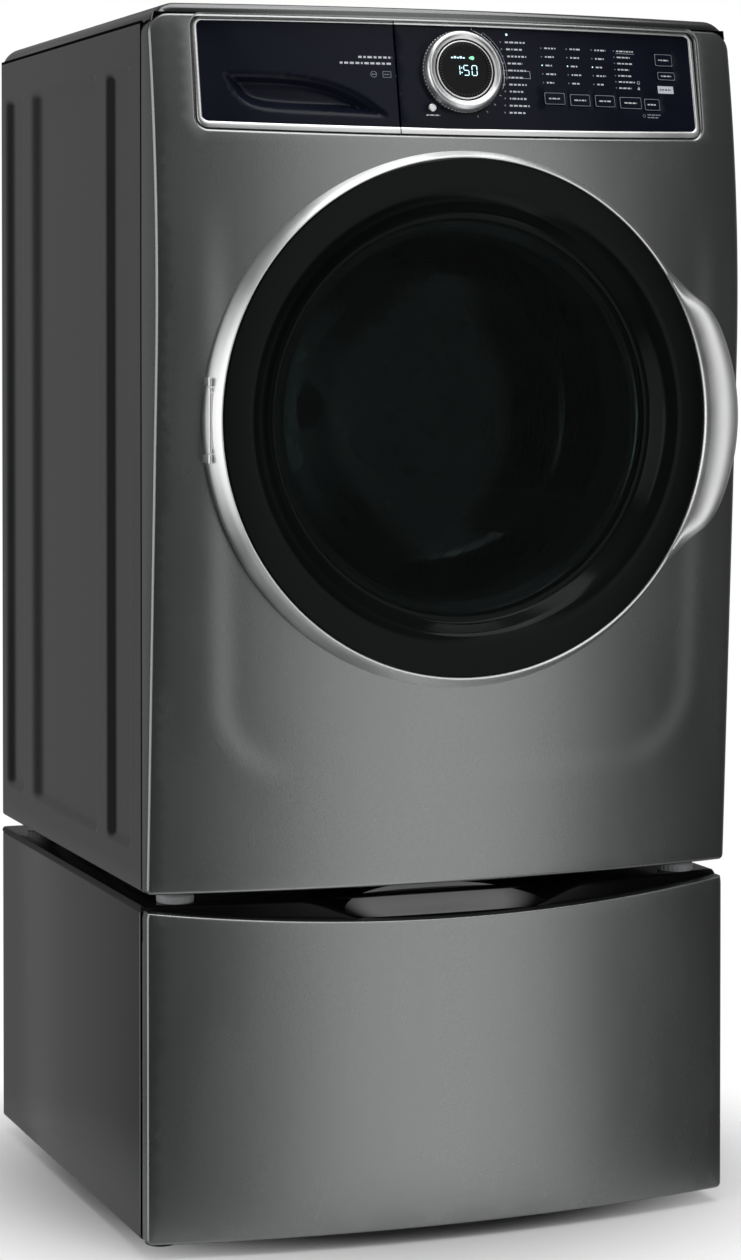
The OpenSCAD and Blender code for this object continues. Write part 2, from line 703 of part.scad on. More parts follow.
module door_glass() {
    color([0.06, 0.07, 0.07]) turned() polygon([[glass_r, yy(glass_d)], [248, yy(glass_d - 3)],
        [window_r, yy(glass_d + 3)], [222, yy(-71)], [120, yy(-74)], [0, yy(-75)],
        [0, yy(-71)], [120, yy(-70)], [221, yy(-67)], [225, yy(-69)],
        [window_r + 3.5, yy(glass_d + 5)], [248, yy(glass_d + 0.8)], [glass_r, yy(glass_d + 4)]]);
}
module door_frame() {
    color(black) {
        difference() {
            turned() polygon([[glass_r, yy(glass_d + 4.2)], [256, yy(glass_d + 4)],
                [240, yy(glass_d + 9)], [226, yy(-65.5)], [214, yy(-64)], [214, yy(-52)],
                [240, yy(-46)], [257, yy(-58)], [258, yy(-83)], [glass_r, yy(-85)]]);
            hinge_notch();
            difference() {
                front_sweep() lean_section(1.2, 260);
                disc_y(259, yy(-130), yy(0), 0, door_z);
            }
        }
        // latch that hooks into the lock
        box(lock_x - 5, lock_x + 3, yy(-56), yy(-26), door_z - 10, door_z + 10);
        box(lock_x - 5, lock_x + 6, yy(-32), yy(-26), door_z - 10, door_z + 10);
    }
}
module door_bowl() {
    color([0.3, 0.36, 0.38]) turned() polygon([[213.5, yy(-63)], [213.5, yy(-55)], [206, yy(-52)],
        [197, yy(-18)], [186, yy(14)], [166, yy(44)], [120, yy(62)], [0, yy(68)], [0, yy(63)],
        [118, yy(57)], [161, yy(40)], [181, yy(12)], [192, yy(-19)], [202, yy(-58)],
        [204, yy(-63)]]);
}
module door_hinge_arm() {
    color(zinc) {
        difference() {
            union() {
                hinge_line(5, -35, 35);
                difference() {              // leaf that is screwed to the door frame
                    box(hinge_x, -250, yy(hinge_d - 3), yy(hinge_d), door_z - 30, door_z + 30);
                    disc_y(258, yy(-90), yy(-70), 0, door_z);
                }
            }
            hinge_line(3.05, -40, 40);
            hinge_line(5, 35, 60);
        }
    }
}
module hinge_bracket() {
    color(zinc) {
        hinge_line(3, -46, 46);
        for (s = [-1, 1]) {
            hinge_line(5, s > 0 ? 36 : -46, s > 0 ? 46 : -36);
            intersection() {
                box(hinge_x - 3, hinge_x + 5, yy(hinge_d), yy(-50), door_z + (s > 0 ? 36 : -46),
                    door_z + (s > 0 ? 46 : -36));
                difference() {
                    box(-400, 0, yy(-200), yy(0), 0, 1400);
                    front_sweep() lean_section(0.05, 260);
                }
            }
        }
    }
}
module door_lock() {
    color(black) difference() {
        box(lock_x - 6, 308, yy(-22), yy(-2), door_z - 42, door_z + 42);
        disc_y(mouth_r + 3, yy(-60), yy(10), 0, door_z);
        box(lock_x - 12, lock_x + 12, yy(-40), yy(-12), door_z - 20, door_z + 20);
    }
}

// ---- pedestal -----------------------------------------------------------------------
ped_z = foot_h + 1;
ped_front = 9;                             // front edge of the pedestal sides
module pedestal_cabinet() {
    color(dark_titanium) difference() {
        box(-half_w, half_w, yy(ped_front), yy(side_d), ped_z, deck_z - 6);
        box(-half_w + sheet, half_w - sheet, yy(ped_front - 1), yy(side_d - sheet),
            ped_z + sheet, deck_z - 5);
        for (x = [-foot_x, foot_x], d = foot_d) translate([x, yy(d), 0])
            cylinder(r = 4.05, h = 40);
    }
    color(zinc) for (x = [-1, 1]) mirror([x < 0 ? 1 : 0, 0, 0]) {
        box(half_w - 14, half_w - sheet, yy(40), yy(500), rail_z - 22, rail_z + 22);
        for (d = foot_d) translate([foot_x, yy(d), ped_z + sheet])
            difference() {
                cylinder(r = 14, h = 14);
                translate([0, 0, -3]) cylinder(r = 4.05, h = 20);
            }
    }
}
rail_z = 180;
module drawer_sweep(grow, depth, z0, z1)
    front_sweep() translate([front_r + drawer_ahead + grow - depth, z0])
        square([depth, z1 - z0]);
module deck_area() {
    difference() {
        box(-half_w, half_w, yy(ped_front - 40), yy(side_d), 0, deck_z);
        difference() {
            box(-400, 400, yy(-120), yy(ped_front + 20), -1, deck_z + 5);
            drawer_sweep(-20, 160, -2, deck_z + 6);
        }
    }
}
module pedestal_top() {
    color(black) difference() {
        union() {
            box(-half_w, half_w, yy(ped_front), yy(side_d), deck_z - 6, deck_z);
            intersection() {
                box(-half_w + 6, half_w - 6, yy(-60), yy(62), deck_z - 40, deck_z);
                drawer_sweep(-20, 120, deck_z - 41, deck_z + 1);
            }
        }
        // hollow under the front apron
        intersection() {
            box(-half_w + 9, half_w - 9, yy(-60), yy(59), deck_z - 41, deck_z - 32);
            drawer_sweep(-23, 120, deck_z - 42, deck_z);
        }
        // dished middle that leaves room for the fingers
        translate([0, yy(-26), deck_z + 545]) rotate([90, 0, 0])
            cylinder(r = 572, h = 160, center = true, $fn = 720);
    }
}
drawer_z0 = ped_z;
drawer_z1 = deck_z - 4;
module drawer_front() {
    color(titanium) difference() {
        intersection() {
            drawer_sweep(0, 18, drawer_z0 - 5, drawer_z1 + 5);
            along_y(yy(-80), yy(20)) rounded(-half_w + 1, half_w - 1, drawer_z0, drawer_z1, 6, 2);
        }
        intersection() {                    // hollow behind the face
            drawer_sweep(-sheet, 40, 0, 400);
            along_y(yy(-80), yy(20)) translate([0, (drawer_z0 + drawer_z1 - drawer_scoop) / 2])
                square([body_w - 10, drawer_z1 - drawer_scoop - drawer_z0 - 8], center = true);
        }
        // shallow scoop along the top edge
        along_y(yy(-90), yy(30)) intersection() {
            translate([0, drawer_z1 - drawer_scoop + scoop_r]) circle(r = scoop_r, $fn = 1440);
            translate([-half_w - 5, drawer_z1 - 40]) square([body_w + 10, 60]);
        }
    }
}
scoop_r = (half_w * half_w + drawer_scoop * drawer_scoop) / (2 * drawer_scoop);
bin = [300, 12, 545, 34, 322];             // half width, front, rear, bottom, top
module drawer_box() {
    color(grey) {
        difference() {
            box(-bin[0], bin[0], yy(bin[1]), yy(bin[2]), bin[3], bin[4]);
            box(-bin[0] + 2, bin[0] - 2, yy(bin[1] + 2), yy(bin[2] - 2), bin[3] + 2, bin[4] + 1);
        }
        intersection() {                    // webs that carry the drawer front
            union() for (x = [-270, -150, 150, 270])
                box(x - 2, x + 2, yy(-60), yy(bin[1] + 1), 60, 300);
            drawer_sweep(-sheet, 120, 0, 400);
        }
    }
    color(zinc) for (x = [-1, 1]) mirror([x < 0 ? 1 : 0, 0, 0])
        box(bin[0], bin[0] + 11, yy(40), yy(520), rail_z - 9, rail_z + 9);
}
module drawer_mid_rails() {
    color(steel) for (x = [-1, 1]) mirror([x < 0 ? 1 : 0, 0, 0])
        box(bin[0] + 11.6, half_w - 14.6, yy(40), yy(500), rail_z - 15, rail_z + 15);
}
foot_x = 308;
foot_d = [46, side_d - 40];
module pedestal_foot(x, d) {
    color(black) translate([x, yy(d), 0]) {
        cylinder(r = 17, h = 6);
        translate([0, 0, 6]) cylinder(r1 = 17, r2 = 11, h = 4);
        cylinder(r = 9, h = foot_h - 1.5, $fn = 6);
        cylinder(r = 4, h = foot_h + 30);
    }
}

// ---- assembly ------------------------------------------------------------------------
side_panel_left();
side_panel_right();
rear_panel();
rear_cover();
top_cover();
front_panel();
base_frame();
top_rails();
washer_feet();
console_trim();
control_fascia();
control_board();
display_disc();
dispenser_housing();
inlet_valves();
internal_hoses();
door_lock();
hinge_bracket();
drain_pump();
damper_cylinders();
suspension_springs();
door_gasket();
tub_hoses();
pedestal_cabinet();
pedestal_top();
tub_front();
tub_rear();
counterweights();
drum_bearings();
motor_housing();
drive_belt();
damper_rods();
drum_shell();
drum_spider();
drum_lifters();
drum_pulley();
motor_pulley();
door_ring();
door_glass();
door_frame();
door_bowl();
door_hinge_arm();
detergent_front();
detergent_tray();
cycle_knob();
key_cap(0);  // key_power
key_cap(1);  // key_temp
key_cap(2);  // key_soil
key_cap(3);  // key_spin
key_cap(4);  // key_options
key_cap(5);  // key_select
key_cap(6);  // key_start
key_cap(7);  // key_cancel
drawer_front();
drawer_box();
drawer_mid_rails();
pedestal_foot(-foot_x, foot_d[0]);  // foot_front_left
pedestal_foot(foot_x, foot_d[0]);  // foot_front_right
pedestal_foot(-foot_x, foot_d[1]);  // foot_rear_left
pedestal_foot(foot_x, foot_d[1]);  // foot_rear_right
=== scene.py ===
import json
from math import asin, atan, cos, degrees, exp, hypot, pi, radians, sin, sqrt

import bmesh
import bpy
import numpy as np
from mathutils import Matrix, Vector
from mathutils.geometry import delaunay_2d_cdt


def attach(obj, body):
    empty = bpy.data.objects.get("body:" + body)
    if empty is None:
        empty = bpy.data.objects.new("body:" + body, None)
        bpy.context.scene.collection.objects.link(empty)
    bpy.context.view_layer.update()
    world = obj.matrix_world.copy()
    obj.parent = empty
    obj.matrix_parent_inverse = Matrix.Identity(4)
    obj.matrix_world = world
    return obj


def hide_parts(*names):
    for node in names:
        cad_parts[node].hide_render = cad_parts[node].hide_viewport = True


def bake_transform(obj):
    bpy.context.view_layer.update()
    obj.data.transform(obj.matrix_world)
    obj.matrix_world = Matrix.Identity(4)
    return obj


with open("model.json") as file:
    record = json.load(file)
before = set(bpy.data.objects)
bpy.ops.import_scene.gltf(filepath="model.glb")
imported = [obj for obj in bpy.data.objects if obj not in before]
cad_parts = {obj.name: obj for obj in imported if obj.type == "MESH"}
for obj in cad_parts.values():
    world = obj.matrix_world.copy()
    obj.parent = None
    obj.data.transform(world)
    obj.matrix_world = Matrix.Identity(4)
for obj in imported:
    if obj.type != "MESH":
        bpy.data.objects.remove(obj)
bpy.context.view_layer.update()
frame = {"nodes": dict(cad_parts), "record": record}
nodes = frame["nodes"]
scene = bpy.context.scene

# ---- sizes of the frame, in millimetres; d is the distance behind the front seam ----
SEAM = -275.0
HALF = 343.0
BULGE = 38.0
FRONT_R = (HALF ** 2 + BULGE ** 2) / (2 * BULGE)
WASHER_Z, FRONT_TOP, SIDE_TOP, LID_TOP = 393.0, 1335.5, 1327.0, 1346.0
SIDE_D = 605.0
DOOR_Z = 902.0
DECK_Z = 378.0
FOOT_OUT, LEAN = 19.0, 0.0575                # the front's reach at its foot, and its slope
ROLL_Z, ROLL_R = 950.0, 1500.0
TILT = atan(LEAN)
CONSOLE_Z0, CONSOLE_Z1, CONSOLE_HALF = 1212.0, 1332.0, 296.0
CONSOLE_OUT, CONSOLE_LEAN = 42.5, 0.2
CONSOLE_TILT = atan(CONSOLE_LEAN)
DRAWER_OUT = 16.0
KNOB_Z = 1277.0
FIELD_X, FIELD_HALF, FIELD_Z, FIELD_CORNER, FIELD_DEPTH = 8.0, 286.0, 514.0, 80.0, 1.3
FIELD_FLARE, FIELD_SAG = 0.030, 0.00012       # wider towards the top, and a bowed lower edge
FIELD_TOP, FIELD_FADE, FIELD_EDGE, FIELD_RAMP = 1170, 160, 14, 32
SPLIT_X = -75.0


def front_radius(z):
    """Radius of the front's curve at height z: leaning, then rolling back towards the top."""
    low = FRONT_R + FOOT_OUT + LEAN * (min(z, ROLL_Z) - WASHER_Z)
    if z <= ROLL_Z:
        return low
    centre_z = ROLL_Z + ROLL_R * sin(TILT)
    return low - ROLL_R * cos(TILT) + sqrt(ROLL_R ** 2 - (z - centre_z) ** 2)


def swept(radius, x):
    """Distance behind the seam of a curved front with this radius, at x."""
    return FRONT_R - BULGE - sqrt(radius ** 2 - x ** 2)


def smooth(t):
    t = min(1.0, max(0.0, t))
    return t * t * (3 - 2 * t)


def front_face(x, z):
    """Painted front, with the shallow round-bottomed field pressed around the door."""
    qx = abs(x - FIELD_X) - (FIELD_HALF + FIELD_FLARE * (z - DOOR_Z) - FIELD_CORNER)
    qz = FIELD_Z + FIELD_SAG * x * x + FIELD_CORNER - z
    edge = hypot(max(qx, 0.0), max(qz, 0.0)) + min(0.0, max(qx, qz)) - FIELD_CORNER
    fade = smooth((FIELD_TOP - z) / FIELD_FADE)
    press = smooth((FIELD_EDGE - edge) / FIELD_RAMP)
    return swept(front_radius(z), x) + FIELD_DEPTH * press * fade


def console_radius(z):
    return FRONT_R + CONSOLE_OUT - CONSOLE_LEAN * (z - CONSOLE_Z0)


def console_face(x, z):
    return swept(console_radius(z), x)


def drawer_face_d(x, z):
    return swept(FRONT_R + DRAWER_OUT, x)


def at(x, d, z=0.0, turn=0.0, axis="Z"):
    """Place at x, d behind the seam and z, turned by degrees."""
    return Matrix.Translation((x, SEAM + d, z)) @ Matrix.Rotation(radians(turn), 4, axis)


def console_matrix(x, z):
    """Place on the console, 2 mm under its frame, with local Z along its normal."""
    r = console_radius(z) - 2
    a = asin(x / r)
    return (at(x, FRONT_R - BULGE - r * cos(a), z, degrees(a))
            @ Matrix.Rotation(pi / 2 - CONSOLE_TILT, 4, "X"))


# ---- materials ----
def node(tree, kind, inputs=None, links=None, **settings):
    """Adds a shader node; inputs are constants and links are outputs, by socket."""
    made = tree.nodes.new("ShaderNode" + kind)
    for key, value in settings.items():
        setattr(made, key, value)
    for key, value in (inputs or {}).items():
        made.inputs[key].default_value = value
    for key, source in (links or {}).items():
        tree.links.new(source, made.inputs[key])
    return made


def noise(tree, vector, scale, detail):
    return node(tree, "TexNoise", {"Scale": scale, "Detail": detail}, {"Vector": vector}).outputs["Fac"]


def ramp(tree, factor, low, high, start=0.3, end=0.7):
    """Eased blend between two colours."""
    made = node(tree, "ValToRGB", links={"Fac": factor})
    made.color_ramp.interpolation = "EASE"
    for stop, place, colour in zip(made.color_ramp.elements, (start, end), (low, high)):
        stop.position = place
        stop.color = (*colour, 1)
    return made.outputs["Color"]


def soft_range(tree, value, lo, hi, to_lo, to_hi):
    """Maps a value from one range to another with a smooth step."""
    ends = {"From Min": lo, "From Max": hi, "To Min": to_lo, "To Max": to_hi}
    made = node(tree, "MapRange", ends, {"Value": value}, interpolation_type="SMOOTHSTEP")
    return made.outputs["Result"]


def radial(tree, location, scale):
    """Gradient from 1 in the middle of an ellipse to 0 at its rim."""
    place = node(tree, "TexCoord").outputs["Object"]
    centred = node(tree, "Mapping", {"Location": location, "Scale": scale}, {"Vector": place})
    return node(tree, "TexGradient", links={"Vector": centred.outputs["Vector"]},
                gradient_type="SPHERICAL").outputs["Fac"]


def material(name, colour, metallic=0.0, rough=(0.4, 0.5), vary=0.06, scale=30.0,
             stretch=(1, 1, 1), grain=(0.0, 400.0), coat=0.0, coat_rough=0.04,
             transmission=0.0, ior=1.5, speck=0.0, specular=0.5, emission=0.0):
    """Surface whose colour, roughness and relief vary with noise."""
    made = bpy.data.materials.new(name)
    made.use_nodes = True
    tree = made.node_tree
    shader = tree.nodes["Principled BSDF"]
    for key, value in (("Metallic", metallic), ("IOR", ior), ("Specular IOR Level", specular),
                       ("Coat Weight", coat), ("Coat Roughness", coat_rough),
                       ("Transmission Weight", transmission)):
        shader.inputs[key].default_value = value
    if emission:
        shader.inputs["Emission Color"].default_value = (*colour, 1)
        shader.inputs["Emission Strength"].default_value = emission
    place = node(tree, "TexCoord").outputs["Object"]
    stretched = node(tree, "Mapping", {"Scale": stretch}, {"Vector": place}).outputs["Vector"]
    cloud = noise(tree, stretched, scale, 5.0)
    tint = ramp(tree, cloud, [c * (1 - vary) for c in colour], [min(1.0, c * (1 + vary)) for c in colour])
    if speck:
        tint = node(tree, "Mix", {"Factor": speck}, {"A": tint, "B": noise(tree, place, 1500.0, 1.0)},
                    data_type="RGBA", blend_type="OVERLAY").outputs["Result"]
    tree.links.new(tint, shader.inputs["Base Color"])
    tree.links.new(soft_range(tree, cloud, 0.3, 0.7, *rough), shader.inputs["Roughness"])
    strength, grain_scale = grain
    if strength:
        relief = node(tree, "Bump", {"Strength": strength, "Distance": 0.0004},
                      {"Height": noise(tree, stretched, grain_scale, 3.0)})
        tree.links.new(relief.outputs["Normal"], shader.inputs["Normal"])
    return made


M = {
    "titanium_front": material(
        "titanium_paint", (0.270, 0.278, 0.276), 0.92, (0.255, 0.285), 0.04, 9, (1, 1, 0.35), (0.10, 900),
        coat=0.12, coat_rough=0.18, speck=0.3),
    # painted shade: a darker copy of the front's titanium paint, used on the sides, lid, back and pedestal
    # to stand in for the shade on these faces
    "titanium_side": material(
        "titanium_side_painted_shade", (0.120, 0.123, 0.122), 0.90, (0.17, 0.20), 0.05, 8, (1, 1, 0.4),
        (0.12, 900), coat=0.05, coat_rough=0.25, speck=0.3),
    "sheet_zinc": material("zinc_sheet", (0.42, 0.43, 0.45), 1.0, (0.32, 0.5), 0.16, 55, grain=(0.1, 300)),
    "silver_trim": material(
        "satin_silver", (0.86, 0.865, 0.87), 1.0, (0.33, 0.39), 0.03, 20, (1, 1, 1), (0.05, 1400),
        coat=0.3, coat_rough=0.12),
    "navy_panel": material(
        "navy_gloss", (0.0070, 0.0085, 0.0170), 0.0, (0.20, 0.26), 0.08, 18, grain=(0.03, 600),
        specular=0.12),
    "black_gloss": material(
        "black_gloss", (0.008, 0.008, 0.009), 0.0, (0.10, 0.15), 0.1, 14, grain=(0.03, 300),
        specular=0.10),
    "black_plastic": material(
        "black_moulded", (0.022, 0.022, 0.023), 0.0, (0.48, 0.6), 0.12, 60, grain=(0.35, 1300)),
    "grey_plastic": material(
        "grey_moulded", (0.55, 0.56, 0.57), 0.0, (0.42, 0.55), 0.05, 40, grain=(0.25, 1000)),
    "rubber_black": material(
        "black_rubber", (0.018, 0.018, 0.018), 0.0, (0.62, 0.76), 0.15, 70, grain=(0.4, 900)),
    "rubber_grey": material(
        "grey_rubber", (0.24, 0.245, 0.25), 0.0, (0.55, 0.68), 0.08, 60, grain=(0.3, 800)),
    "dark_glass": material(
        "tinted_glass", (0.20, 0.24, 0.235), 0.0, (0.015, 0.03), 0.05, 12, transmission=1.0, ior=1.10),
    "clear_glass": material(
        "bowl_glass", (0.62, 0.68, 0.67), 0.0, (0.02, 0.04), 0.03, 12, transmission=1.0, ior=1.47),
    "stainless": material(
        "stainless", (0.55, 0.56, 0.57), 1.0, (0.24, 0.36), 0.06, 26, (1, 12, 1), (0.12, 500)),
    "cast_weight": material("cast_weight", (0.27, 0.26, 0.25), 0.1, (0.75, 0.9), 0.2, 45, grain=(0.9, 420)),
    "cast_alloy": material("cast_alloy", (0.48, 0.48, 0.49), 0.9, (0.42, 0.58), 0.1, 50, grain=(0.5, 650)),
    "board_green": material(
        "circuit_board", (0.015, 0.10, 0.04), 0.0, (0.3, 0.45), 0.25, 160, grain=(0.3, 700)),
    "drawer_grey": material(
        "drawer_paint", (0.36, 0.365, 0.37), 0.35, (0.42, 0.5), 0.04, 24, grain=(0.12, 900)),
}
PRINT = material("panel_print", (0.72, 0.75, 0.80), 0.0, (0.5, 0.6), 0.04, 90)
DIM_PRINT = material("panel_print_dim", (0.30, 0.33, 0.40), 0.0, (0.5, 0.6), 0.05, 90)
GLOW = material("display_light", (0.55, 0.85, 0.95), 0.0, (0.4, 0.5), 0.04, 90, emission=1.4)
GREEN = material("leaf_light", (0.25, 0.75, 0.45), 0.0, (0.4, 0.5), 0.04, 90, emission=0.8)
GLASS_RIM = material("glass_rim_black", (0.0055, 0.0072, 0.0064), 0.0, (0.10, 0.15), 0.08, 12,
                     grain=(0.02, 200), specular=0.08)
# painted shade: the drum's holes are real, and this near-black stands in for the shadow seen through them
HOLE_SHADE = material("drum_hole_shade", (0.03, 0.03, 0.03), 0.6, (0.5, 0.6), 0.2, 80)
SCREW = material("screw_steel", (0.45, 0.45, 0.46), 1.0, (0.3, 0.42), 0.1, 120, grain=(0.1, 400))
# painted shade: near-black that stands in for the shadow in seams, slots, holes and screw crosses
GAP_SHADE = material("shadow_gap", (0.006, 0.006, 0.006), 0.0, (0.8, 0.9), 0.1, 60, specular=0.0)
TI, TI_SHADE, SILVER, NAVY = M["titanium_front"], M["titanium_side"], M["silver_trim"], M["navy_panel"]
GLOSS, BLACKP, ZINC = M["black_gloss"], M["black_plastic"], M["sheet_zinc"]
DRAWER_GREY, STEEL, GREYP = M["drawer_grey"], M["stainless"], M["grey_plastic"]

# painted reflection and glow: the pale oval in the deck's hollow
SHEEN_TINT = (0.60, 0.60, 0.61)
FADE_Y, FADE_X_R, FADE_Y_R = -0.262, 0.128, 0.068          # where the painted reflection fades, in metres


def scoop_painted_reflection():
    """Painted reflection: a grey that glows faintly and fades to black towards the rim, standing in for the
    bright room mirrored in the hollow.
    """
    # the emission is a painted glow; the part is no lamp
    made = material("scoop_painted_reflection", SHEEN_TINT, 0.0, (0.45, 0.55), 0.05, 60, grain=(0.2, 900), emission=0.11)
    tree = made.node_tree
    fade = radial(tree, (0, -FADE_Y / FADE_Y_R, 0), (1 / FADE_X_R, 1 / FADE_Y_R, 0))
    tint = ramp(tree, fade, (0.008, 0.008, 0.009), SHEEN_TINT, 0.0, 0.42)
    for socket in ("Base Color", "Emission Color"):
        tree.links.new(tint, tree.nodes["Principled BSDF"].inputs[socket])
    return made


SCOOP_SHEEN = scoop_painted_reflection()


# ---- mesh building ----
class Builder:
    """Collects patches of faces, in millimetres, and makes objects of them."""

    def __init__(self):
        self.verts, self.faces, self.mats, self.slots = [], [], [], []

    def add(self, verts, faces, mat):
        if mat not in self.slots:
            self.slots.append(mat)
        base = len(self.verts)
        self.verts.extend(tuple(v) for v in verts)
        self.faces.extend([i + base for i in f] for f in faces)
        self.mats.extend([self.slots.index(mat)] * len(faces))

    def grid(self, rows, mat, close=False, flip=False):
        """Quads between rows of points; close joins each row's end to its start."""
        n = len(rows[0])
        verts = [p for row in rows for p in row]
        faces = []
        for r in range(len(rows) - 1):
            for i in range(n if close else n - 1):
                j = (i + 1) % n
                quad = [r * n + i, r * n + j, (r + 1) * n + j, (r + 1) * n + i]
                faces.append(quad[::-1] if flip else quad)
        self.add(verts, faces, mat)

    def disc(self, row, mat, flip=False):
        face = list(range(len(row)))
        self.add(row, [face[::-1] if flip else face], mat)

    def box(self, lo, hi, mat, bevel=0.0, matrix=None):
        bm = bmesh.new()
        bmesh.ops.create_cube(bm, size=1.0)
        for v in bm.verts:
            v.co = Vector([lo[k] + (v.co[k] + 0.5) * (hi[k] - lo[k]) for k in range(3)])
        if bevel:
            bmesh.ops.bevel(bm, geom=bm.edges[:] + bm.verts[:], offset=bevel, segments=3,
                            profile=0.5, affect="EDGES")
        if matrix is not None:
            bm.transform(matrix)
        bm.verts.index_update()
        self.add([v.co.copy() for v in bm.verts], [[v.index for v in f.verts] for f in bm.faces], mat)
        bm.free()

    def lathe(self, profile, mat, centre=(0, DOOR_Z), seg=160, matrix=None):
        """Profile of (radius, depth) turned about a depth axis, or about a matrix's Z."""
        rows = []
        for k in range(seg):
            c, s = cos(2 * pi * k / seg), sin(2 * pi * k / seg)
            if matrix is None:
                rows.append([(centre[0] + r * s, SEAM + d, centre[1] + r * c) for r, d in profile])
            else:
                rows.append([matrix @ Vector((r * c, r * s, d)) for r, d in profile])
        self.grid(rows + rows[:1], mat)

    def tube(self, points, radius, mat, seg):
        points = [Vector(p) for p in points]
        rows = []
        side = None
        for i in range(len(points)):
            t = (points[min(i + 1, len(points) - 1)] - points[max(i - 1, 0)]).normalized()
            if side is None:
                side = t.orthogonal().normalized()
            side = (side - t * side.dot(t)).normalized()
            other = t.cross(side)
            rows.append([points[i] + radius * (cos(a) * side + sin(a) * other)
                         for a in [2 * pi * k / seg for k in range(seg)]])
        self.grid(rows, mat, close=True)
        self.disc(rows[0], mat, flip=True)
        self.disc(rows[-1], mat)

    def make(self, name, body, slot, *replaced, angle=32, merge=0.005):
        """Makes the object and empties the builder; body None leaves it free for a blend."""
        mesh = bpy.data.meshes.new(name)
        mesh.from_pydata([(v[0] / 1000, v[1] / 1000, v[2] / 1000) for v in self.verts], [], self.faces)
        mesh.polygons.foreach_set("material_index", self.mats)
        for m in self.slots:
            mesh.materials.append(m)
        bm = bmesh.new()
        bm.from_mesh(mesh)
        bmesh.ops.remove_doubles(bm, verts=bm.verts, dist=merge / 1000)
        bmesh.ops.dissolve_degenerate(bm, dist=merge / 2000, edges=bm.edges)
        bmesh.ops.recalc_face_normals(bm, faces=bm.faces)
        bm.to_mesh(mesh)
        bm.free()
        mesh.shade_smooth()
        mesh.set_sharp_from_angle(angle=radians(angle))
        obj = bpy.data.objects.new(name, mesh)
        scene.collection.objects.link(obj)
        if body:
            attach(obj, body)
        if replaced:
            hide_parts(*replaced)
        self.__init__()
        return obj


def arc(cx, cy, r, a0, a1, n):
    return [(cx + r * cos(radians(a0 + (a1 - a0) * i / n)), cy + r * sin(radians(a0 + (a1 - a0) * i / n)))
            for i in range(n + 1)]


def densify(poly, step):
    out = []
    for i, p in enumerate(poly):
        q = poly[(i + 1) % len(poly)]
        n = max(1, int(round(hypot(q[0] - p[0], q[1] - p[1]) / step)))
        out.extend((p[0] + (q[0] - p[0]) * k / n, p[1] + (q[1] - p[1]) * k / n) for k in range(n))
    return out


def round_rect(x0, x1, z0, z1, rb, rt, step=8.0):
    poly = (arc(x1 - rb, z0 + rb, rb, -90, 0, 8) + arc(x1 - rt, z1 - rt, rt, 0, 90, 10)
            + arc(x0 + rt, z1 - rt, rt, 90, 180, 10) + arc(x0 + rb, z0 + rb, rb, 180, 270, 8))
    return densify(poly, step)


def fillet(points, radii, n=5):
    """Open polyline with its inner corners rounded."""
    out = [points[0]]
    for i in range(1, len(points) - 1):
        p, r = Vector(points[i]), radii if not isinstance(radii, (list, tuple)) else radii[i]
        a, b = Vector(points[i - 1]) - p, Vector(points[i + 1]) - p
        reach = min(r, a.length * 0.48, b.length * 0.48)
        if reach < 0.02:
            out.append(tuple(p))
            continue
        a, b = p + a.normalized() * reach, p + b.normalized() * reach
        for k in range(n + 1):
            t = k / n
            out.append(tuple((1 - t) ** 2 * a + 2 * t * (1 - t) * p + t * t * b))
    out.append(points[-1])
    return out


def inset(poly, amount):
    p = np.array(poly, float)
    e1 = p - np.roll(p, 1, 0)
    e2 = np.roll(p, -1, 0) - p
    e1 /= np.linalg.norm(e1, axis=1)[:, None]
    e2 /= np.linalg.norm(e2, axis=1)[:, None]
    n1 = np.stack([-e1[:, 1], e1[:, 0]], 1)
    n2 = np.stack([-e2[:, 1], e2[:, 0]], 1)
    n = (n1 + n2) / np.maximum(0.35, 1 + (n1 * n2).sum(1))[:, None]
    return [tuple(q) for q in p + n * amount]


def inside(pts, poly):
    pts, poly = np.asarray(pts, float), np.asarray(poly, float)
    hit = np.zeros(len(pts), bool)
    a, b = poly, np.roll(poly, -1, 0)
    for (x0, z0), (x1, z1) in zip(a, b):
        if z0 == z1:
            continue
        cross = (z0 > pts[:, 1]) != (z1 > pts[:, 1])
        x = x0 + (pts[:, 1] - z0) * (x1 - x0) / (z1 - z0)
        hit ^= cross & (pts[:, 0] < x)
    return hit


def between(pts, loops):
    """Which points lie inside the first loop and outside the others."""
    keep = inside(pts, loops[0])
    for hole in loops[1:]:
        keep &= ~inside(pts, hole)
    return keep


def fill(b, loops, face, spacing, mat, flip=False, extra=()):
    """Triangulated sheet between an outer loop and its holes, lifted onto face(x, z)."""
    pts, edges = [], []
    for loop in list(loops) + list(extra):
        start = len(pts)
        pts.extend(loop)
        edges.extend((start + i, start + (i + 1) % len(loop)) for i in range(len(loop)))
    outline = np.array(pts)
    lo, hi = outline.min(0), outline.max(0)
    rows = int((hi[1] - lo[1]) / (spacing * 0.87)) + 1
    cols = int((hi[0] - lo[0]) / spacing) + 2
    mesh = np.array([(lo[0] + (c + 0.5 * (r % 2)) * spacing, lo[1] + (r + 0.5) * spacing * 0.87)
                     for r in range(rows) for c in range(cols)])
    mesh = mesh[between(mesh, loops)]
    near = np.array([((outline - q) ** 2).sum(1).min() for q in mesh]) if len(mesh) else []
    mesh = mesh[near > (0.55 * spacing) ** 2] if len(mesh) else mesh
    allp = [Vector(p) for p in pts] + [Vector(p) for p in mesh]
    out, _, faces, _, _, _ = delaunay_2d_cdt(allp, edges, [], 0, 1e-5)
    centre = np.array([[sum(out[i][k] for i in f) / len(f) for k in (0, 1)] for f in faces])
    good = between(centre, loops)
    verts = [(p[0], SEAM + face(p[0], p[1]), p[1]) for p in out]
    tris = [list(f)[::-1] if flip else list(f) for f, g in zip(faces, good) if g]
    b.add(verts, tris, mat)


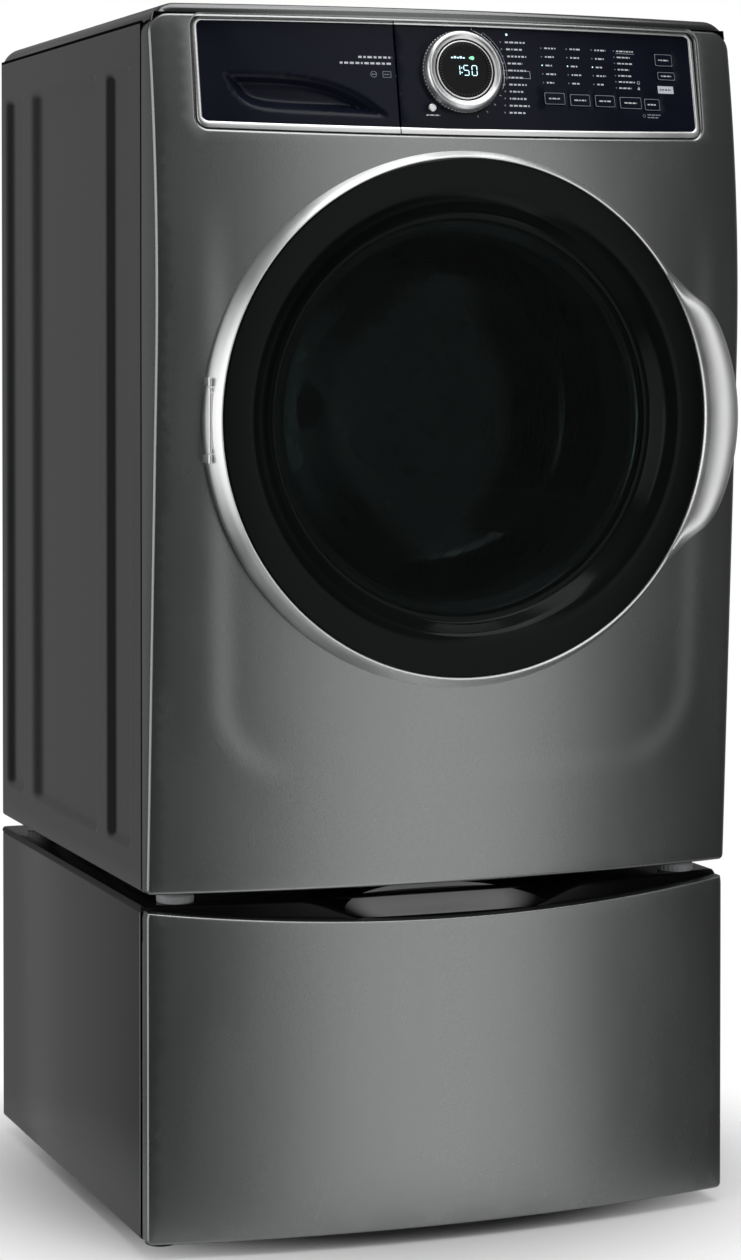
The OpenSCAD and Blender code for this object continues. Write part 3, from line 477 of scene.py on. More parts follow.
def sheet(b, outer, holes, face, mat, spacing, edge, walls, back=None, extra=(), steps=4):
    """Formed sheet seen from the front: rounded edges, side walls, and a back if asked."""
    loops = [outer] + [h[::-1] for h in holes]
    inner = []
    for wall, loop in zip(walls, loops):
        rows = [[(x, SEAM + (wall(x, z) if callable(wall) else wall), z) for x, z in loop]]
        for s in range(steps + 1):
            a = pi / 2 * s / steps
            ring = inset(loop, edge * (1 - cos(a)))
            rows.append([(x, SEAM + face(x, z) + edge * (1 - sin(a)), z) for x, z in ring])
        b.grid(rows, mat, close=True)
        inner.append(inset(loop, edge))
    fill(b, inner, face, spacing, mat, extra=extra)
    if back is not None:
        fill(b, loops, back, spacing * 2, mat, flip=True)


def circle_loop(cx, cz, r, n):
    return [(cx + r * cos(2 * pi * k / n), cz + r * sin(2 * pi * k / n)) for k in range(n)]


def console_loop(d):
    """Outline of the console frame, d inside its outer edge, the lower edge sagging."""
    h, r = CONSOLE_HALF - d, 12 - min(d, 6)
    z0, z1 = CONSOLE_Z0 + d, CONSOLE_Z1 - d
    low = [(x, z0 - 4 * (1 - (x / (h - r)) ** 2)) for x in np.linspace(-h + r, h - r, 60)]
    poly = (low[:-1] + arc(h - r, z0 + r, r, -90, 0, 8) + arc(h - r, z1 - r, r, 0, 90, 8)
            + arc(-h + r, z1 - r, r, 90, 180, 8) + arc(-h + r, z0 + r, r, 180, 270, 8)[:-1])
    return densify(poly, 10)


def clip_loop(loop, cut, side):
    """Keeps the part of a closed loop on one side of x = cut."""
    out = []
    for p, q in zip(loop, loop[1:] + loop[:1]):
        kept, next_kept = (p[0] - cut) * side >= 0, (q[0] - cut) * side >= 0
        if kept:
            out.append(p)
        if kept != next_kept:
            t = (cut - p[0]) / (q[0] - p[0])
            out.append((cut, p[1] + t * (q[1] - p[1])))
    clean = [p for i, p in enumerate(out) if hypot(p[0] - out[i - 1][0], p[1] - out[i - 1][1]) > 0.05]
    return densify(clean, 10)


# ---- camera, light, floor ----
cam_data = bpy.data.cameras.new("photo_camera")
cam_data.sensor_width = 36.0
cam_data.lens = 93.5
cam_data.shift_y = -0.1958
camera = bpy.data.objects.new("photo_camera", cam_data)
camera.location = (-1.3478, -3.6404, 1.0014)
camera.rotation_euler = (radians(89.0), 0, radians(-20.634))
scene.collection.objects.link(camera)
scene.camera = camera

STRIP_AZ = radians(20)
WHITE = (1.0, 1.0, 1.0, 1)
world = bpy.data.worlds.new("studio")
world.use_nodes = True
wt = world.node_tree
white = wt.nodes["Background"]
white.inputs["Color"].default_value = WHITE
white.inputs["Strength"].default_value = 1.0
direction = node(wt, "TexCoord").outputs["Generated"]
split = node(wt, "SeparateXYZ", links={"Vector": direction})

# a tall soft strip of light to the right of the camera, by compass direction only
level = node(wt, "VectorMath", {1: (1, 1, 0)}, {0: direction}, operation="MULTIPLY")
unit = node(wt, "VectorMath", links={0: level.outputs["Vector"]}, operation="NORMALIZE")
strip = node(wt, "VectorMath", {1: (sin(STRIP_AZ), -cos(STRIP_AZ), 0)},
             {0: unit.outputs["Vector"]}, operation="DOT_PRODUCT").outputs["Value"]

# light from the sides of the room: where it comes from, where it fades in and ends, how much
east, north, up = (split.outputs[axis] for axis in "XYZ")
ROOM = ((up, 0.30, 0.95, 0.30), (north, 0.78, 0.93, 0.19), (east, -0.76, -0.95, 1.3),
        (east, 0.84, 1.0, 0.22), (up, -0.45, -0.85, 0.35), (up, -1.0, -0.99, 0.02),
        (strip, 0.935, 0.999, 1.05))
parts = [soft_range(wt, side, lo, hi, 0.0, amount) for side, lo, hi, amount in ROOM]
total = parts[0]
for part in parts[1:]:
    total = node(wt, "Math", links={0: total, 1: part}).outputs["Value"]
room = node(wt, "Background", {"Color": WHITE}, {"Strength": total})
choose = node(wt, "MixShader", links={
    "Fac": node(wt, "LightPath").outputs["Is Camera Ray"],
    1: room.outputs["Background"], 2: white.outputs["Background"]})
wt.links.new(choose.outputs["Shader"], wt.nodes["World Output"].inputs["Surface"])
scene.world = world
scene.view_settings.view_transform = "Standard"


def area_light(name, place, aim, size, power, size_y=None):
    data = bpy.data.lights.new(name, "AREA")
    data.energy = power
    data.size = size
    if size_y:
        data.shape = "RECTANGLE"
        data.size_y = size_y
    obj = bpy.data.objects.new(name, data)
    obj.location = place
    obj.rotation_euler = (Vector(aim) - Vector(place)).to_track_quat("-Z", "Y").to_euler()
    scene.collection.objects.link(obj)


area_light("softbox_key", (-3.4, -1.9, 1.7), (0, 0, 0.8), 1.0, 8, 2.4)
area_light("softbox_top", (0.2, -0.6, 3.4), (0, -0.2, 0.0), 2.4, 50)

# the floor melts into the white backdrop towards its rim
FLOOR_R, FLOOR_Y, FLOOR_SEG = 680.0, 30.0, 96
pale = material("pale_floor", (0.90, 0.90, 0.90), 0.0, (0.75, 0.82), 0.01, 2)
ft = pale.node_tree
melt = node(ft, "MixShader", links={
    "Fac": soft_range(ft, radial(ft, (0, 0, 0), (1000 / FLOOR_R, 1000 / FLOOR_R, 0)),
                      0.02, 0.58, 0.0, 1.0),
    1: node(ft, "BsdfTransparent").outputs["BSDF"],
    2: ft.nodes["Principled BSDF"].outputs["BSDF"]})
ft.links.new(melt.outputs["Shader"], ft.nodes["Material Output"].inputs["Surface"])
floor_mesh = bpy.data.meshes.new("floor")
floor_mesh.from_pydata([(x / 1000, y / 1000, 0) for x, y in circle_loop(0, FLOOR_Y, FLOOR_R, FLOOR_SEG)],
                       [], [list(range(FLOOR_SEG))])
floor_mesh.materials.append(pale)
floor_obj = bpy.data.objects.new("floor", floor_mesh)
scene.collection.objects.link(floor_obj)

# ---- washer covers ----
b = Builder()
outline = round_rect(-HALF, HALF, WASHER_Z, FRONT_TOP, 6, 22, 10)
sheet(b, outline, [circle_loop(0, DOOR_Z, 262, 180), console_loop(-0.8)], front_face, TI,
      spacing=11, edge=4.0, walls=[-0.3, -60, -24], steps=5)
b.lathe(fillet([(262, -60), (224, -24), (224, -19)], [0, 4, 0]), TI)
b.make("front_skin", "cabinet", "titanium_front", "front_panel")

CORNER_X, CORNER_R, CORNER_DEG = 313.0, 30.0, 68.5         # the lid's rounded shoulders


def lid_point(a, inward):
    """Point x, z on the lid's section; a runs from 0 at the left end to 1 at the right."""
    straight = 2 * CORNER_X
    quarter = CORNER_R * pi / 2 * 0.76
    run = a * (straight + 2 * quarter) - quarter
    if 0 <= run <= straight:
        return run - CORNER_X, LID_TOP - inward
    side, past = (-1, -run) if run < 0 else (1, run - straight)
    ang = pi / 2 - side * past / quarter * radians(CORNER_DEG)
    reach = CORNER_R - inward
    return side * CORNER_X + reach * cos(ang), LID_TOP - CORNER_R + reach * sin(ang)


LID_LOW, LIP = 1336.0, 6.5                    # the lid's front edge, and its rounding
stations = sorted(set([*np.linspace(0, 1, 70), *np.linspace(0, 0.055, 9), *np.linspace(0.945, 1, 9)]))
rows = []
for k in range(14):
    row = []
    for a in stations:
        if k < 3:
            x, z = lid_point(a, (10.0, 8.0, LIP)[k])
            z = max(z, LID_LOW)
            d = swept(front_radius(z), x) - 0.3
        elif k < 9:
            t = pi / 2 * (k - 3) / 5
            x, z = lid_point(a, LIP * (1 - sin(t)))
            d = swept(front_radius(z), x) - 0.3 + LIP * (1 - cos(t))
            z = max(z, LID_LOW if abs(x) < 338 else z)
        else:
            t = pi / 2 * (k - 9) / 4
            x, z = lid_point(a, 4 * (1 - cos(t)))
            d = SIDE_D - 4 + 4 * sin(t)
        row.append((x, SEAM + d, z))
    rows.append(row)
b.grid(rows, TI_SHADE)
b.grid([rows[-1], [(x, y, SIDE_TOP) for x, y, z in rows[-1]]], TI_SHADE)
for s in (-1, 1):
    b.grid([[(s * x, SEAM + d, z) for d in (-12, 200, 400, SIDE_D)]
            for x, z in ((340.9, SIDE_TOP + 0.2), (342.6, SIDE_TOP - 1.5))], TI_SHADE)
    # the near-black strips along the top and front seams are painted shade in the gaps
    x0, x1 = sorted((s * 340.0, s * 343.25))
    b.box((x0, SEAM + 1, SIDE_TOP - 1.8), (x1, SEAM + SIDE_D - 4, SIDE_TOP + 1.2), GAP_SHADE)
    b.box((x0, SEAM - 1.2, WASHER_Z + 4), (x1, SEAM + 1.6, SIDE_TOP), GAP_SHADE)
b.make("top_lid", "cabinet", "titanium_side", "top_cover")

PADS = ((42, 110, 28), (175, 420, 43), (497, 551, 35))     # start, end of the flat, rear bevel
PAD_RISE, PAD_LOW, PAD_HIGH, PAD_END, PAD_DEPTH = 9, 432, 1283, 12, 5.0


def emboss(d, z):
    """Depth of the tall pads pressed into a side panel."""
    depth = 0.0
    for start, end, bevel in PADS:
        rise = smooth((d - start) / PAD_RISE)
        fall = smooth((end + bevel - d) / bevel)
        depth = max(depth, PAD_DEPTH * min(rise, fall))
    return depth * smooth((z - PAD_LOW) / PAD_END) * smooth((PAD_HIGH - z) / PAD_END)


ds = {0, 1, 2.2, 4, 10, 25, 600, 602, 604, 605, *range(190, 420, 38)}
for start, end, bevel in PADS:
    ds.update(start + k for k in (-1, 0, 1.5, 3, 4.5, 6, 7.5, 9, 10))
    ds.update(end + bevel * k / 8 for k in range(-1, 10))
zs = {WASHER_Z, 394, 396, 415, 431, 1284, 1300, 1320, 1325, SIDE_TOP - 0.8, *range(460, 1270, 54)}
zs.update(z + 1.5 * k for z in (432, 1271) for k in range(9))
for side, s in (("left", -1), ("right", 1)):
    rows = []
    for z in sorted(zs):
        row = []
        for d in sorted(ds):
            back = max(0.0, 2.2 - d, d - 603) ** 2 * 0.4
            fold = max(0.0, 396 - z, z - 1325) ** 2 * 0.25
            row.append((s * (HALF - emboss(d, z) - back - fold), SEAM + d, z))
        rows.append([(s * 329, SEAM, z)] + row + [(s * 329, SEAM + SIDE_D, z)])
    b.grid(rows, TI_SHADE)
    b.make("side_" + side, "cabinet", "titanium_side", "side_panel_" + side, angle=50)


def back_face(x, z):
    """Back sheet with pressed ribs and a ring round its cover."""
    rib = 0.0
    for z0 in (470, 540, 1140, 1175):
        rib = max(rib, smooth((14 - abs(z - z0)) / 7) * smooth((250 - abs(x)) / 14))
    ring = smooth((9 - abs(hypot(x, z - DOOR_Z) - 240)) / 6)
    return SIDE_D - 1.6 + 3.0 * max(rib, ring)


outer = round_rect(-340, 340, WASHER_Z, 1326, 3, 3, 12)
holes = [circle_loop(0, DOOR_Z, 200, 120), circle_loop(-150, 1290, 16, 28),
         circle_loop(-90, 1290, 16, 28), circle_loop(280, 1215, 18, 28),
         circle_loop(-280, 1120, 9, 20)]
fill(b, [outer] + holes, back_face, 9, TI_SHADE, flip=True)
b.lathe(fillet([(9.2, 600), (12, 600), (12, 613), (10.5, 614.5), (4.5, 614.5), (4, 613), (4, 598)], 1.0),
        BLACKP, centre=(-280, 1120), seg=36)
# dark disc in the plug's hole: painted shade
b.lathe([(4, 606), (0.01, 606)], GAP_SHADE, centre=(-280, 1120), seg=36)
SCREWS = ([(s * 325, z) for s in (-1, 1) for z in (420, 600, 780, 960, 1110, 1306)]
          + [(x, 1314) for x in (-200, 0, 60, 200)] + [(x, 405) for x in (-200, 0, 200)])


def screw(b, x, z, d, r=5.0):
    """Cross-headed screw on a face that looks backwards."""
    profile = [(0.01, 2.6), (r * 0.45, 2.5), (r * 0.85, 1.8), (r, 0.4), (r + 1.6, 0.3), (r + 1.6, -0.3)]
    b.lathe([(radius, d + up) for radius, up in profile], SCREW, centre=(x, z), seg=20)
    # the cross is two near-black bars: painted shade in its recess
    for turn in (20, 110):
        b.box((-r * 0.55, -0.35, -0.55), (r * 0.55, 0.35, 0.55), GAP_SHADE,
              matrix=at(x, d + 2.45, z, turn, "Y"))


for x, z in SCREWS:
    screw(b, x, z, SIDE_D - 1.2)
b.make("back_sheet", "cabinet", "titanium_side", "rear_panel")

dome = [(0.01, 650), (118, 650), (128, 648.5), (176, 612), (186, 606.6), (212, 606.6), (215, 605),
        (215, 603.4)]
b.lathe(fillet(dome, [0, 6, 6, 8, 8, 1.5, 1, 0]), TI_SHADE, seg=120)
for k in range(8):
    a = radians(22.5 + 45 * k)
    screw(b, 204 * sin(a), DOOR_Z + 204 * cos(a), 606.4, 4.5)
for k in range(-4, 5):                       # louvres pressed into the dome
    w = sqrt(100 ** 2 - (18 * k) ** 2)
    # every other louvre is near-black: painted shade in the slots between them
    b.box((-w, -1.6, -2.2), (w, 1.6, 2.2), GAP_SHADE if k % 2 else TI_SHADE, 0.8, at(0, 650.4, DOOR_Z + 18 * k))
b.make("back_dome", "cabinet", "titanium_side", "rear_cover")


def ribs(b, x, d, z, count, lo, hi, mat):
    """Small upright ribs round a foot."""
    for k in range(count):
        b.box(lo, hi, mat, 0.4, at(x, d, z, 360 / count * k))


pad_profile = fillet([(0.01, 378), (20, 378), (20, 386), (14, 391), (14, 393.5), (0.01, 393.5)],
                     [0, 1.2, 1.5, 1.5, 0.5, 0])
for x in (-300, 300):
    for d in (18, 565):
        b.lathe(pad_profile, GREYP, seg=48, matrix=at(x, d))
        ribs(b, x, d, 382, 24, (19.4, -1.0, -3.2), (20.5, 1.0, 3.2), GREYP)
b.make("washer_pads", "cabinet", "grey_plastic", "washer_feet")

foot_profile = fillet([(0.01, 0), (17, 0), (17, 6), (11, 10), (9, 10.5), (0.01, 10.5)],
                      [0, 1.5, 1.2, 1.0, 0.3, 0])
thread = [(4.0 - 0.5 * (k % 2), 13 + k * 0.8) for k in range(40)] + [(0.01, 45)]
for end, d in (("front", 46), ("rear", 565)):
    for side, x in (("left", -308), ("right", 308)):
        b.lathe(foot_profile, BLACKP, seg=48, matrix=at(x, d))
        b.grid([[(px, py, z) for px, py in circle_loop(x, SEAM + d, r, 6)]
                for r, z in ((9, 6), (9, 13), (8.2, 13.5), (0.01, 13.5))], BLACKP, close=True)
        b.lathe(thread, SCREW, seg=20, matrix=at(x, d))
        ribs(b, x, d, 3.2, 20, (16.4, -1.0, -2.2), (17.4, 1.0, 2.2), BLACKP)
        key = end + "_" + side
        b.make("levelling_" + key, "foot_" + key, "black_plastic", "foot_" + key, angle=40)

# ---- pedestal ----


def ped_ring(shrink, d):
    return [(x, SEAM + d, z) for x, z in round_rect(-HALF + shrink, HALF - shrink, 16 + shrink,
                                                    371.8 - shrink, 5, 1.5, 40)]


rows = [ped_ring(shrink, d) for shrink, d in (
    (1.6, 12), (1.6, 10), (0.8, 9), (0.2, 9.6), (0, 11), (0, 300), (0, 602), (0.8, 604.2), (3, SIDE_D))]
b.grid(rows, TI_SHADE, close=True)
b.disc(rows[-1], TI_SHADE)
inner = [ped_ring(1.6, 12), ped_ring(1.7, 300), ped_ring(1.7, 603.2)]
b.grid(inner, TI_SHADE, close=True, flip=True)
b.disc(inner[-1], TI_SHADE, flip=True)
for s in (-1, 1):
    x0, x1 = sorted((s * 329.2, s * 341.2))
    b.box((x0, SEAM + 40, 158), (x1, SEAM + 500, 202), ZINC, 1.2)
    b.box((s * 329.2 - 0.4, SEAM + 44, 176), (s * 329.2 + 0.4, SEAM + 496, 184), SCREW, 0.3)
    for d in (46, 565):
        b.lathe(fillet([(4.1, 32), (14, 32), (14, 17.5)], 1.0), ZINC, seg=32, matrix=at(s * 308, d))
for x, z in [(s * 320, z) for s in (-1, 1) for z in (50, 190, 340)] + [(0, 345), (0, 40)]:
    screw(b, x, z, SIDE_D + 0.2)
for k in range(-5, 6):
    b.box((-5, -1.5, -70), (5, 1.5, 70), TI_SHADE, 1.2, at(k * 38, SIDE_D - 0.3, 190))
b.make("pedestal_shell", "cabinet", "titanium_side", "pedestal_cabinet")


def deck_front(x):
    """Front edge of the glossy deck."""
    return swept(FRONT_R + DRAWER_OUT - 20, x)


# size and place of the sheet that carries the painted reflection in the hollow
SHEEN_HALF, SHEEN_DEEP, SHEEN_FRONT = 118.0, 78.0, -29.0


def scoop(x, d):
    """Depth of the smooth oval hollow pressed into the middle of the deck."""
    spread = hypot(x / 178, max(0.0, d + 34) / 92)
    return 25.0 * smooth((1 - spread) / 0.55)


xs = sorted({*np.linspace(-HALF + 0.2, HALF - 0.2, 61), *np.linspace(-180, 180, 73),
             -341, -338, 338, 341})
rows = []
for x in xs:
    side = max(0.0, abs(x) - 340) ** 2 * 0.35
    front = deck_front(min(334, max(-334, x)))
    top = [(d, DECK_Z - side - scoop(x, d))
           for d in [*np.linspace(605, 70, 10), *np.linspace(64, front + 5, 20)]]
    last = top[-1][1]
    for k in range(1, 6):
        a = pi / 2 * k / 5
        top.append((front + 5 - 5 * sin(a), last - 5 * (1 - cos(a))))
    top += [(front, 356), (front, 339), (front + 3, 338)]
    rows.append([(x, SEAM + d, z) for d, z in top])
b.grid(rows, GLOSS)
sheen_rows = []                                     # painted reflection: a glowing sheet laid on the floor of the hollow
for u in np.linspace(0.0, 1.0, 25):
    row = []
    for a in np.linspace(-pi / 2, pi / 2, 49):
        x, d = SHEEN_HALF * u * sin(a), SHEEN_FRONT + SHEEN_DEEP * u * cos(a)
        row.append((x, SEAM + d, DECK_Z - scoop(x, d) + 0.4))
    sheen_rows.append(row)
b.grid(sheen_rows, SCOOP_SHEEN)
for row in (rows[0], rows[-1]):
    b.grid([row, [(x, y, min(z, 372.0)) for x, y, z in row]], GLOSS)
b.grid([[r[0] for r in rows], [(r[0][0], r[0][1], 372) for r in rows]], GLOSS)
b.make("pedestal_deck", "cabinet", "black_gloss", "pedestal_top", angle=40)

# drawer front with its dipped top edge
DRAWER_TOP, SCOOP = 374.0, 20.0
scoop_r = (HALF ** 2 + SCOOP ** 2) / (2 * SCOOP)
top_edge = [(x, DRAWER_TOP - SCOOP + scoop_r - sqrt(scoop_r ** 2 - x * x))
            for x in np.linspace(341, -341, 70)]
outer = densify(arc(342 - 6, 16 + 6, 6, -90, 0, 6) + [(342, 366)] + top_edge + [(-342, 366)]
                + arc(-342 + 6, 16 + 6, 6, 180, 270, 6), 12)
sheet(b, outer, [], drawer_face_d, TI, spacing=14, edge=3.2,
      walls=[lambda x, z: drawer_face_d(x, z) + 18], back=lambda x, z: drawer_face_d(x, z) + 17.6,
      steps=5)
b.make("drawer_face", "pedestal_drawer", "titanium_front", "drawer_front")


def bin_ring(shrink, z, r):
    return [(x, SEAM + y, z) for x, y in round_rect(-300 + shrink, 300 - shrink, 12 + shrink,
                                                    545 - shrink, r, r, 40)]


rows = [bin_ring(shrink, z, r) for shrink, z, r in (
    (2, 34, 6), (0, 36, 6), (0, 320.5, 6), (0.4, 322, 6), (1.6, 322, 5), (2.0, 320.5, 5), (2.0, 38, 5),
    (4, 36, 4))]
b.grid(rows, DRAWER_GREY, close=True)
b.disc(rows[0], DRAWER_GREY, flip=True)
b.disc(rows[-1], DRAWER_GREY)
for z in (110, 250):                         # stiffening beads along the sides
    for s in (-1, 1):
        b.box((s * 298 - 1.6, SEAM + 40, z - 5), (s * 298 + 1.6, SEAM + 520, z + 5), DRAWER_GREY, 1.2)
for x in (-270, -150, 150, 270):             # brackets behind the drawer front
    d0 = swept(FRONT_R + DRAWER_OUT - 1.6, x) + 3
    b.box((x - 2, SEAM + d0, 60), (x + 2, SEAM + 13, 300), DRAWER_GREY, 0.5)
for s in (-1, 1):
    x0, x1 = sorted((s * 300, s * 311))
    b.box((x0, SEAM + 40, 171), (x1, SEAM + 520, 189), ZINC, 1.0)
b.make("drawer_bin", "pedestal_drawer", "drawer_grey", "drawer_box")

# ---- door ----
HANDLE = ([(87 + 235 * cos(radians(a)), 235 * sin(radians(a))) for a in np.linspace(-31.3, 31.3, 60)]
          + [(252, 164), (220, 178)])
HANDLE = [(220, -178), (252, -164)] + HANDLE


def handle_radius(phi):
    """How far the bezel reaches at the angle phi above the horizontal."""
    best = 294.0
    dx, dz = cos(phi), sin(phi)
    for (x0, z0), (x1, z1) in zip(HANDLE[:-1], HANDLE[1:]):
        den = dx * (z1 - z0) - dz * (x1 - x0)
        if abs(den) < 1e-9:
            continue
        t = (x0 * (z1 - z0) - z0 * (x1 - x0)) / den
        u = (x0 * dz - z0 * dx) / den
        if 0 <= u <= 1 and t > 0:
            best = max(best, t)
    return best


angles = list(np.linspace(0, 2 * pi, 361)[:-1])
radius = np.array([handle_radius((a + pi) % (2 * pi) - pi) for a in angles])
for _ in range(3):
    radius = (np.roll(radius, 1) + radius + np.roll(radius, -1)) / 3
plain = [(280.6, -64), (280.6, -90.5), (280.9, -92.2), (281.8, -93.4), (283.2, -93.6), (285.0, -91.6),
         (288.0, -86.0), (290.6, -80.4), (292.2, -76.6), (293.4, -73.2), (294.0, -70.4), (294.0, -68.0),
         (294.0, -66.0), (294.0, -64.0), (293.6, -62.6), (292.0, -62.0)]
rows = []
for a, r in zip(angles, radius):
    w = smooth((r - 294.3) / 22)
    grip = [(280.6, -64), (280.6, -90.5), (280.9, -92.6), (281.9, -94.4), (283.6, -95.8),
            (288.0, -97.8), (0.5 * (288 + r - 5), -100.2), (r - 6.0, -100.0), (r - 2.4, -98.4),
            (r - 0.5, -95.4), (r, -91.5), (r - 0.2, -87.0), (r - 1.8, -83.0), (r - 5.0, -80.6),
            (296.0, -79.5), (294.0, -64.0)]
    row = []
    for (r0, d0), (r1, d1) in zip(plain, grip):
        rr, dd = r0 + (r1 - r0) * w, d0 + (d1 - d0) * w
        row.append((rr * cos(a), SEAM + dd, DOOR_Z + rr * sin(a)))
    rows.append(row)
rows.append(rows[0])
b.grid(rows, SILVER)
b.lathe([(280.6, -64), (280.2, -62.6), (282, -62), (292, -62)], SILVER)
b.make("door_bezel", "door", "silver_trim", "door_ring", angle=40)

rim = fillet([(280.0, -88.2), (280.0, -91.6), (279.2, -92.1), (248, -95.2), (238, -91.0)],
             [0, 0.3, 0.5, 5, 0])
b.lathe(rim, GLASS_RIM, seg=200)
b.lathe(fillet([(238, -91.0), (234, -87.6), (222.5, -72.6), (217, -71.8)], [0, 3, 3, 0]),
        GLASS_RIM, seg=200)
b.lathe(fillet([(217, -71.8), (120, -74), (0.01, -75)], [0, 30, 0]), M["dark_glass"], seg=200)
b.lathe(fillet([(0.01, -71), (120, -70), (217, -67.7)], [0, 30, 0]), M["dark_glass"], seg=200)
b.lathe(fillet([(217, -67.7), (224.5, -69.0), (237, -85.6), (240, -88.2), (248, -91.2),
                (280, -88.2)], [0, 3, 2, 1, 3, 0]), GLASS_RIM, seg=200)
b.make("door_window", "door", "dark_glass", "door_glass", angle=50)

bowl_out = fillet([(213.5, -63), (213.5, -55), (206, -52), (197, -18), (186, 14), (166, 44),
                   (120, 62), (0.01, 68)], [0, 1, 4, 20, 25, 25, 30, 0], 8)
bowl_in = fillet([(0.01, 63), (118, 57), (161, 40), (181, 12), (192, -19), (202, -58), (204, -63),
                  (213.5, -63)], [0, 30, 25, 25, 20, 4, 1, 0], 8)
b.lathe(bowl_out + bowl_in[:-1] + [(213.5, -63)], M["clear_glass"], seg=180)
b.make("door_bowl_glass", "door", "clear_glass", "door_bowl", angle=60)

# ---- console ----
KEYS = {"power": (-36.5, 1237.5, 9, 9), "temp": (110, 1251, 26, 14), "soil": (141.5, 1250, 26, 14),
        "spin": (173, 1250, 26, 14), "options": (206, 1249, 29, 14), "select": (234, 1248, 21, 14),
        "start": (254, 1299, 24, 14.5), "cancel": (256, 1281, 24, 10)}


def trim_band(b, cut, side):
    """Silver frame of the console on one side of a cut, with a soft bevelled section."""
    rows = []
    for d, up, lift in ((0, 0, 14), (0, 0, 1.6), (0.5, 0.1, 0.5), (1.4, 0.3, 0.0),
                        (4.4, 1.1, 0.0), (5.4, 1.4, 0.5), (6.0, 1.5, 1.4), (6.0, 1.5, 6.0)):
        rows.append([(x, z + up, lift) for x, z in inset(console_loop(0), d)])
    total = len(rows[0])
    keep = [i for i, p in enumerate(rows[0]) if (p[0] - cut) * side >= 0]
    first = next(i for i in keep if (i - 1) % total not in keep)
    run = [(first + k) % total for k in range(len(keep))]
    out = []
    for row in rows:
        points = [row[i] for i in run]
        ends = []
        for end, past in ((0, (run[0] - 1) % total), (-1, (run[-1] + 1) % total)):
            x, z, lift = points[end]
            x2, z2, _ = row[past]
            t = (cut - x) / (x2 - x) if abs(x2 - x) > 1e-6 else 0
            ends.append((cut, z + t * (z2 - z), lift))
        out.append([(x, SEAM + console_face(x, z) + lift, z)
                    for x, z, lift in ends[:1] + points + ends[1:]])
    b.grid(out, SILVER)
    for end in (0, -1):
        b.disc([r[end] for r in out], SILVER)


trim_band(b, SPLIT_X + 0.6, 1)
b.make("console_frame", "cabinet", "silver_trim", "console_trim", angle=40)


def key_loop(k, grow):
    """Outline of a key's hole, grown all round."""
    x, z, w, h = KEYS[k]
    if w < 12:
        return circle_loop(x, z, w / 2 + grow, 32)
    w, h = w / 2 + grow, h / 2 + grow
    return round_rect(x - w, x + w, z - h, z + h, 1.6, 1.6, 4)


face_loop = clip_loop(inset(console_loop(0), 6.4), SPLIT_X + 1.4, 1)
face_loop = [(x, z + 1.5) for x, z in face_loop]
holes = [circle_loop(0, KNOB_Z, 46.1, 96)] + [key_loop(k, 0.35) for k in KEYS]
sheet(b, face_loop, holes, lambda x, z: console_face(x, z) + 1.0, NAVY, spacing=9, edge=0.3,
      walls=[lambda x, z: console_face(x, z) + 5] * (len(holes) + 1), steps=2)
fill(b, [circle_loop(0, KNOB_Z, 47, 64)], lambda x, z: console_face(x, z) + 5.2, 12, BLACKP)


def mark(b, x, z, w, h, mat, lift=1.0, turn=0.0):
    """Flat printed bar on the console."""
    m = console_matrix(x, z) @ Matrix.Rotation(radians(turn), 4, "Z")
    b.box((-w / 2, -h / 2, lift - 0.1), (w / 2, h / 2, lift + 0.12), mat, 0.0, m)


def box_mark(b, x, z, w, h, thick, mat):
    """Printed outline of a rectangle."""
    for dz in (h / 2, -h / 2):
        mark(b, x, z + dz, w, thick, mat)
    for dx in (-w / 2, w / 2):
        mark(b, x + dx, z, thick, h, mat)


rng = np.random.default_rng(7)


def words(b, x, z, width, height, mat=PRINT, lift=1.0):
    """A line of generic dashes standing in for a printed label."""
    used = 0.0
    while used < width:
        w = min(width - used, 1.6 + 3.6 * rng.random())
        mark(b, x + used + w / 2, z, w, height, mat, lift=lift)
        used += w + height * 0.8


def ring_mark(b, x, z, r, thick, a0, a1, mat, n=40):
    """Printed arc from angle a0 to a1."""
    m = console_matrix(x, z)
    section = ((r - thick / 2, 0.9), (r - thick / 2, 1.12), (r + thick / 2, 1.12), (r + thick / 2, 0.9))
    angles = [radians(a0 + (a1 - a0) * k / n) for k in range(n + 1)]
    b.grid([[m @ Vector((rr * cos(a), rr * sin(a), high)) for rr, high in section] for a in angles], mat)


for k in range(11):                          # programme list beside the knob
    z = 1312 - 7.8 * k
    shift = max(0, abs(z - KNOB_Z) - 20) * 0.10
    words(b, 56 - shift, z, 24 - (k * 5) % 9, 1.9)
    mark(b, 50.5 - shift, z, 1.5, 1.5, DIM_PRINT)
box_mark(b, 66, 1276.4, 32, 8.0, 0.35, PRINT)
for name in ("temp", "soil", "spin"):
    x = KEYS[name][0]
    for k in range(5):
        words(b, x - 8, 1307 - 9.6 * k, 14 - (k * 3) % 7, 1.7)
        mark(b, x - 12.2, 1307 - 9.6 * k, 1.3, 1.3, DIM_PRINT if k != 2 else GLOW)
x = KEYS["options"][0]
for k in range(7):
    words(b, x - 13, 1307 - 6.9 * k, 22 - (k * 5) % 8, 1.6)
    mark(b, x - 16.6, 1307 - 6.9 * k, 1.2, 1.2, DIM_PRINT)
mark(b, x - 2, 1304.4, 24, 0.3, PRINT)
ring_mark(b, x + 12.6, 1272.3, 1.7, 0.4, 0, 360, PRINT, n=24)
mark(b, x + 12.6, 1265.2, 2.8, 2.0, PRINT)
ring_mark(b, x + 12.6, 1266.6, 0.9, 0.35, 0, 180, PRINT, n=12)
mark(b, 254, 1265.5, 21, 8.5, PRINT)
words(b, 246, 1265.5, 15, 1.4, NAVY, lift=1.12)
words(b, 227, 1236.6, 18, 1.2, DIM_PRINT)
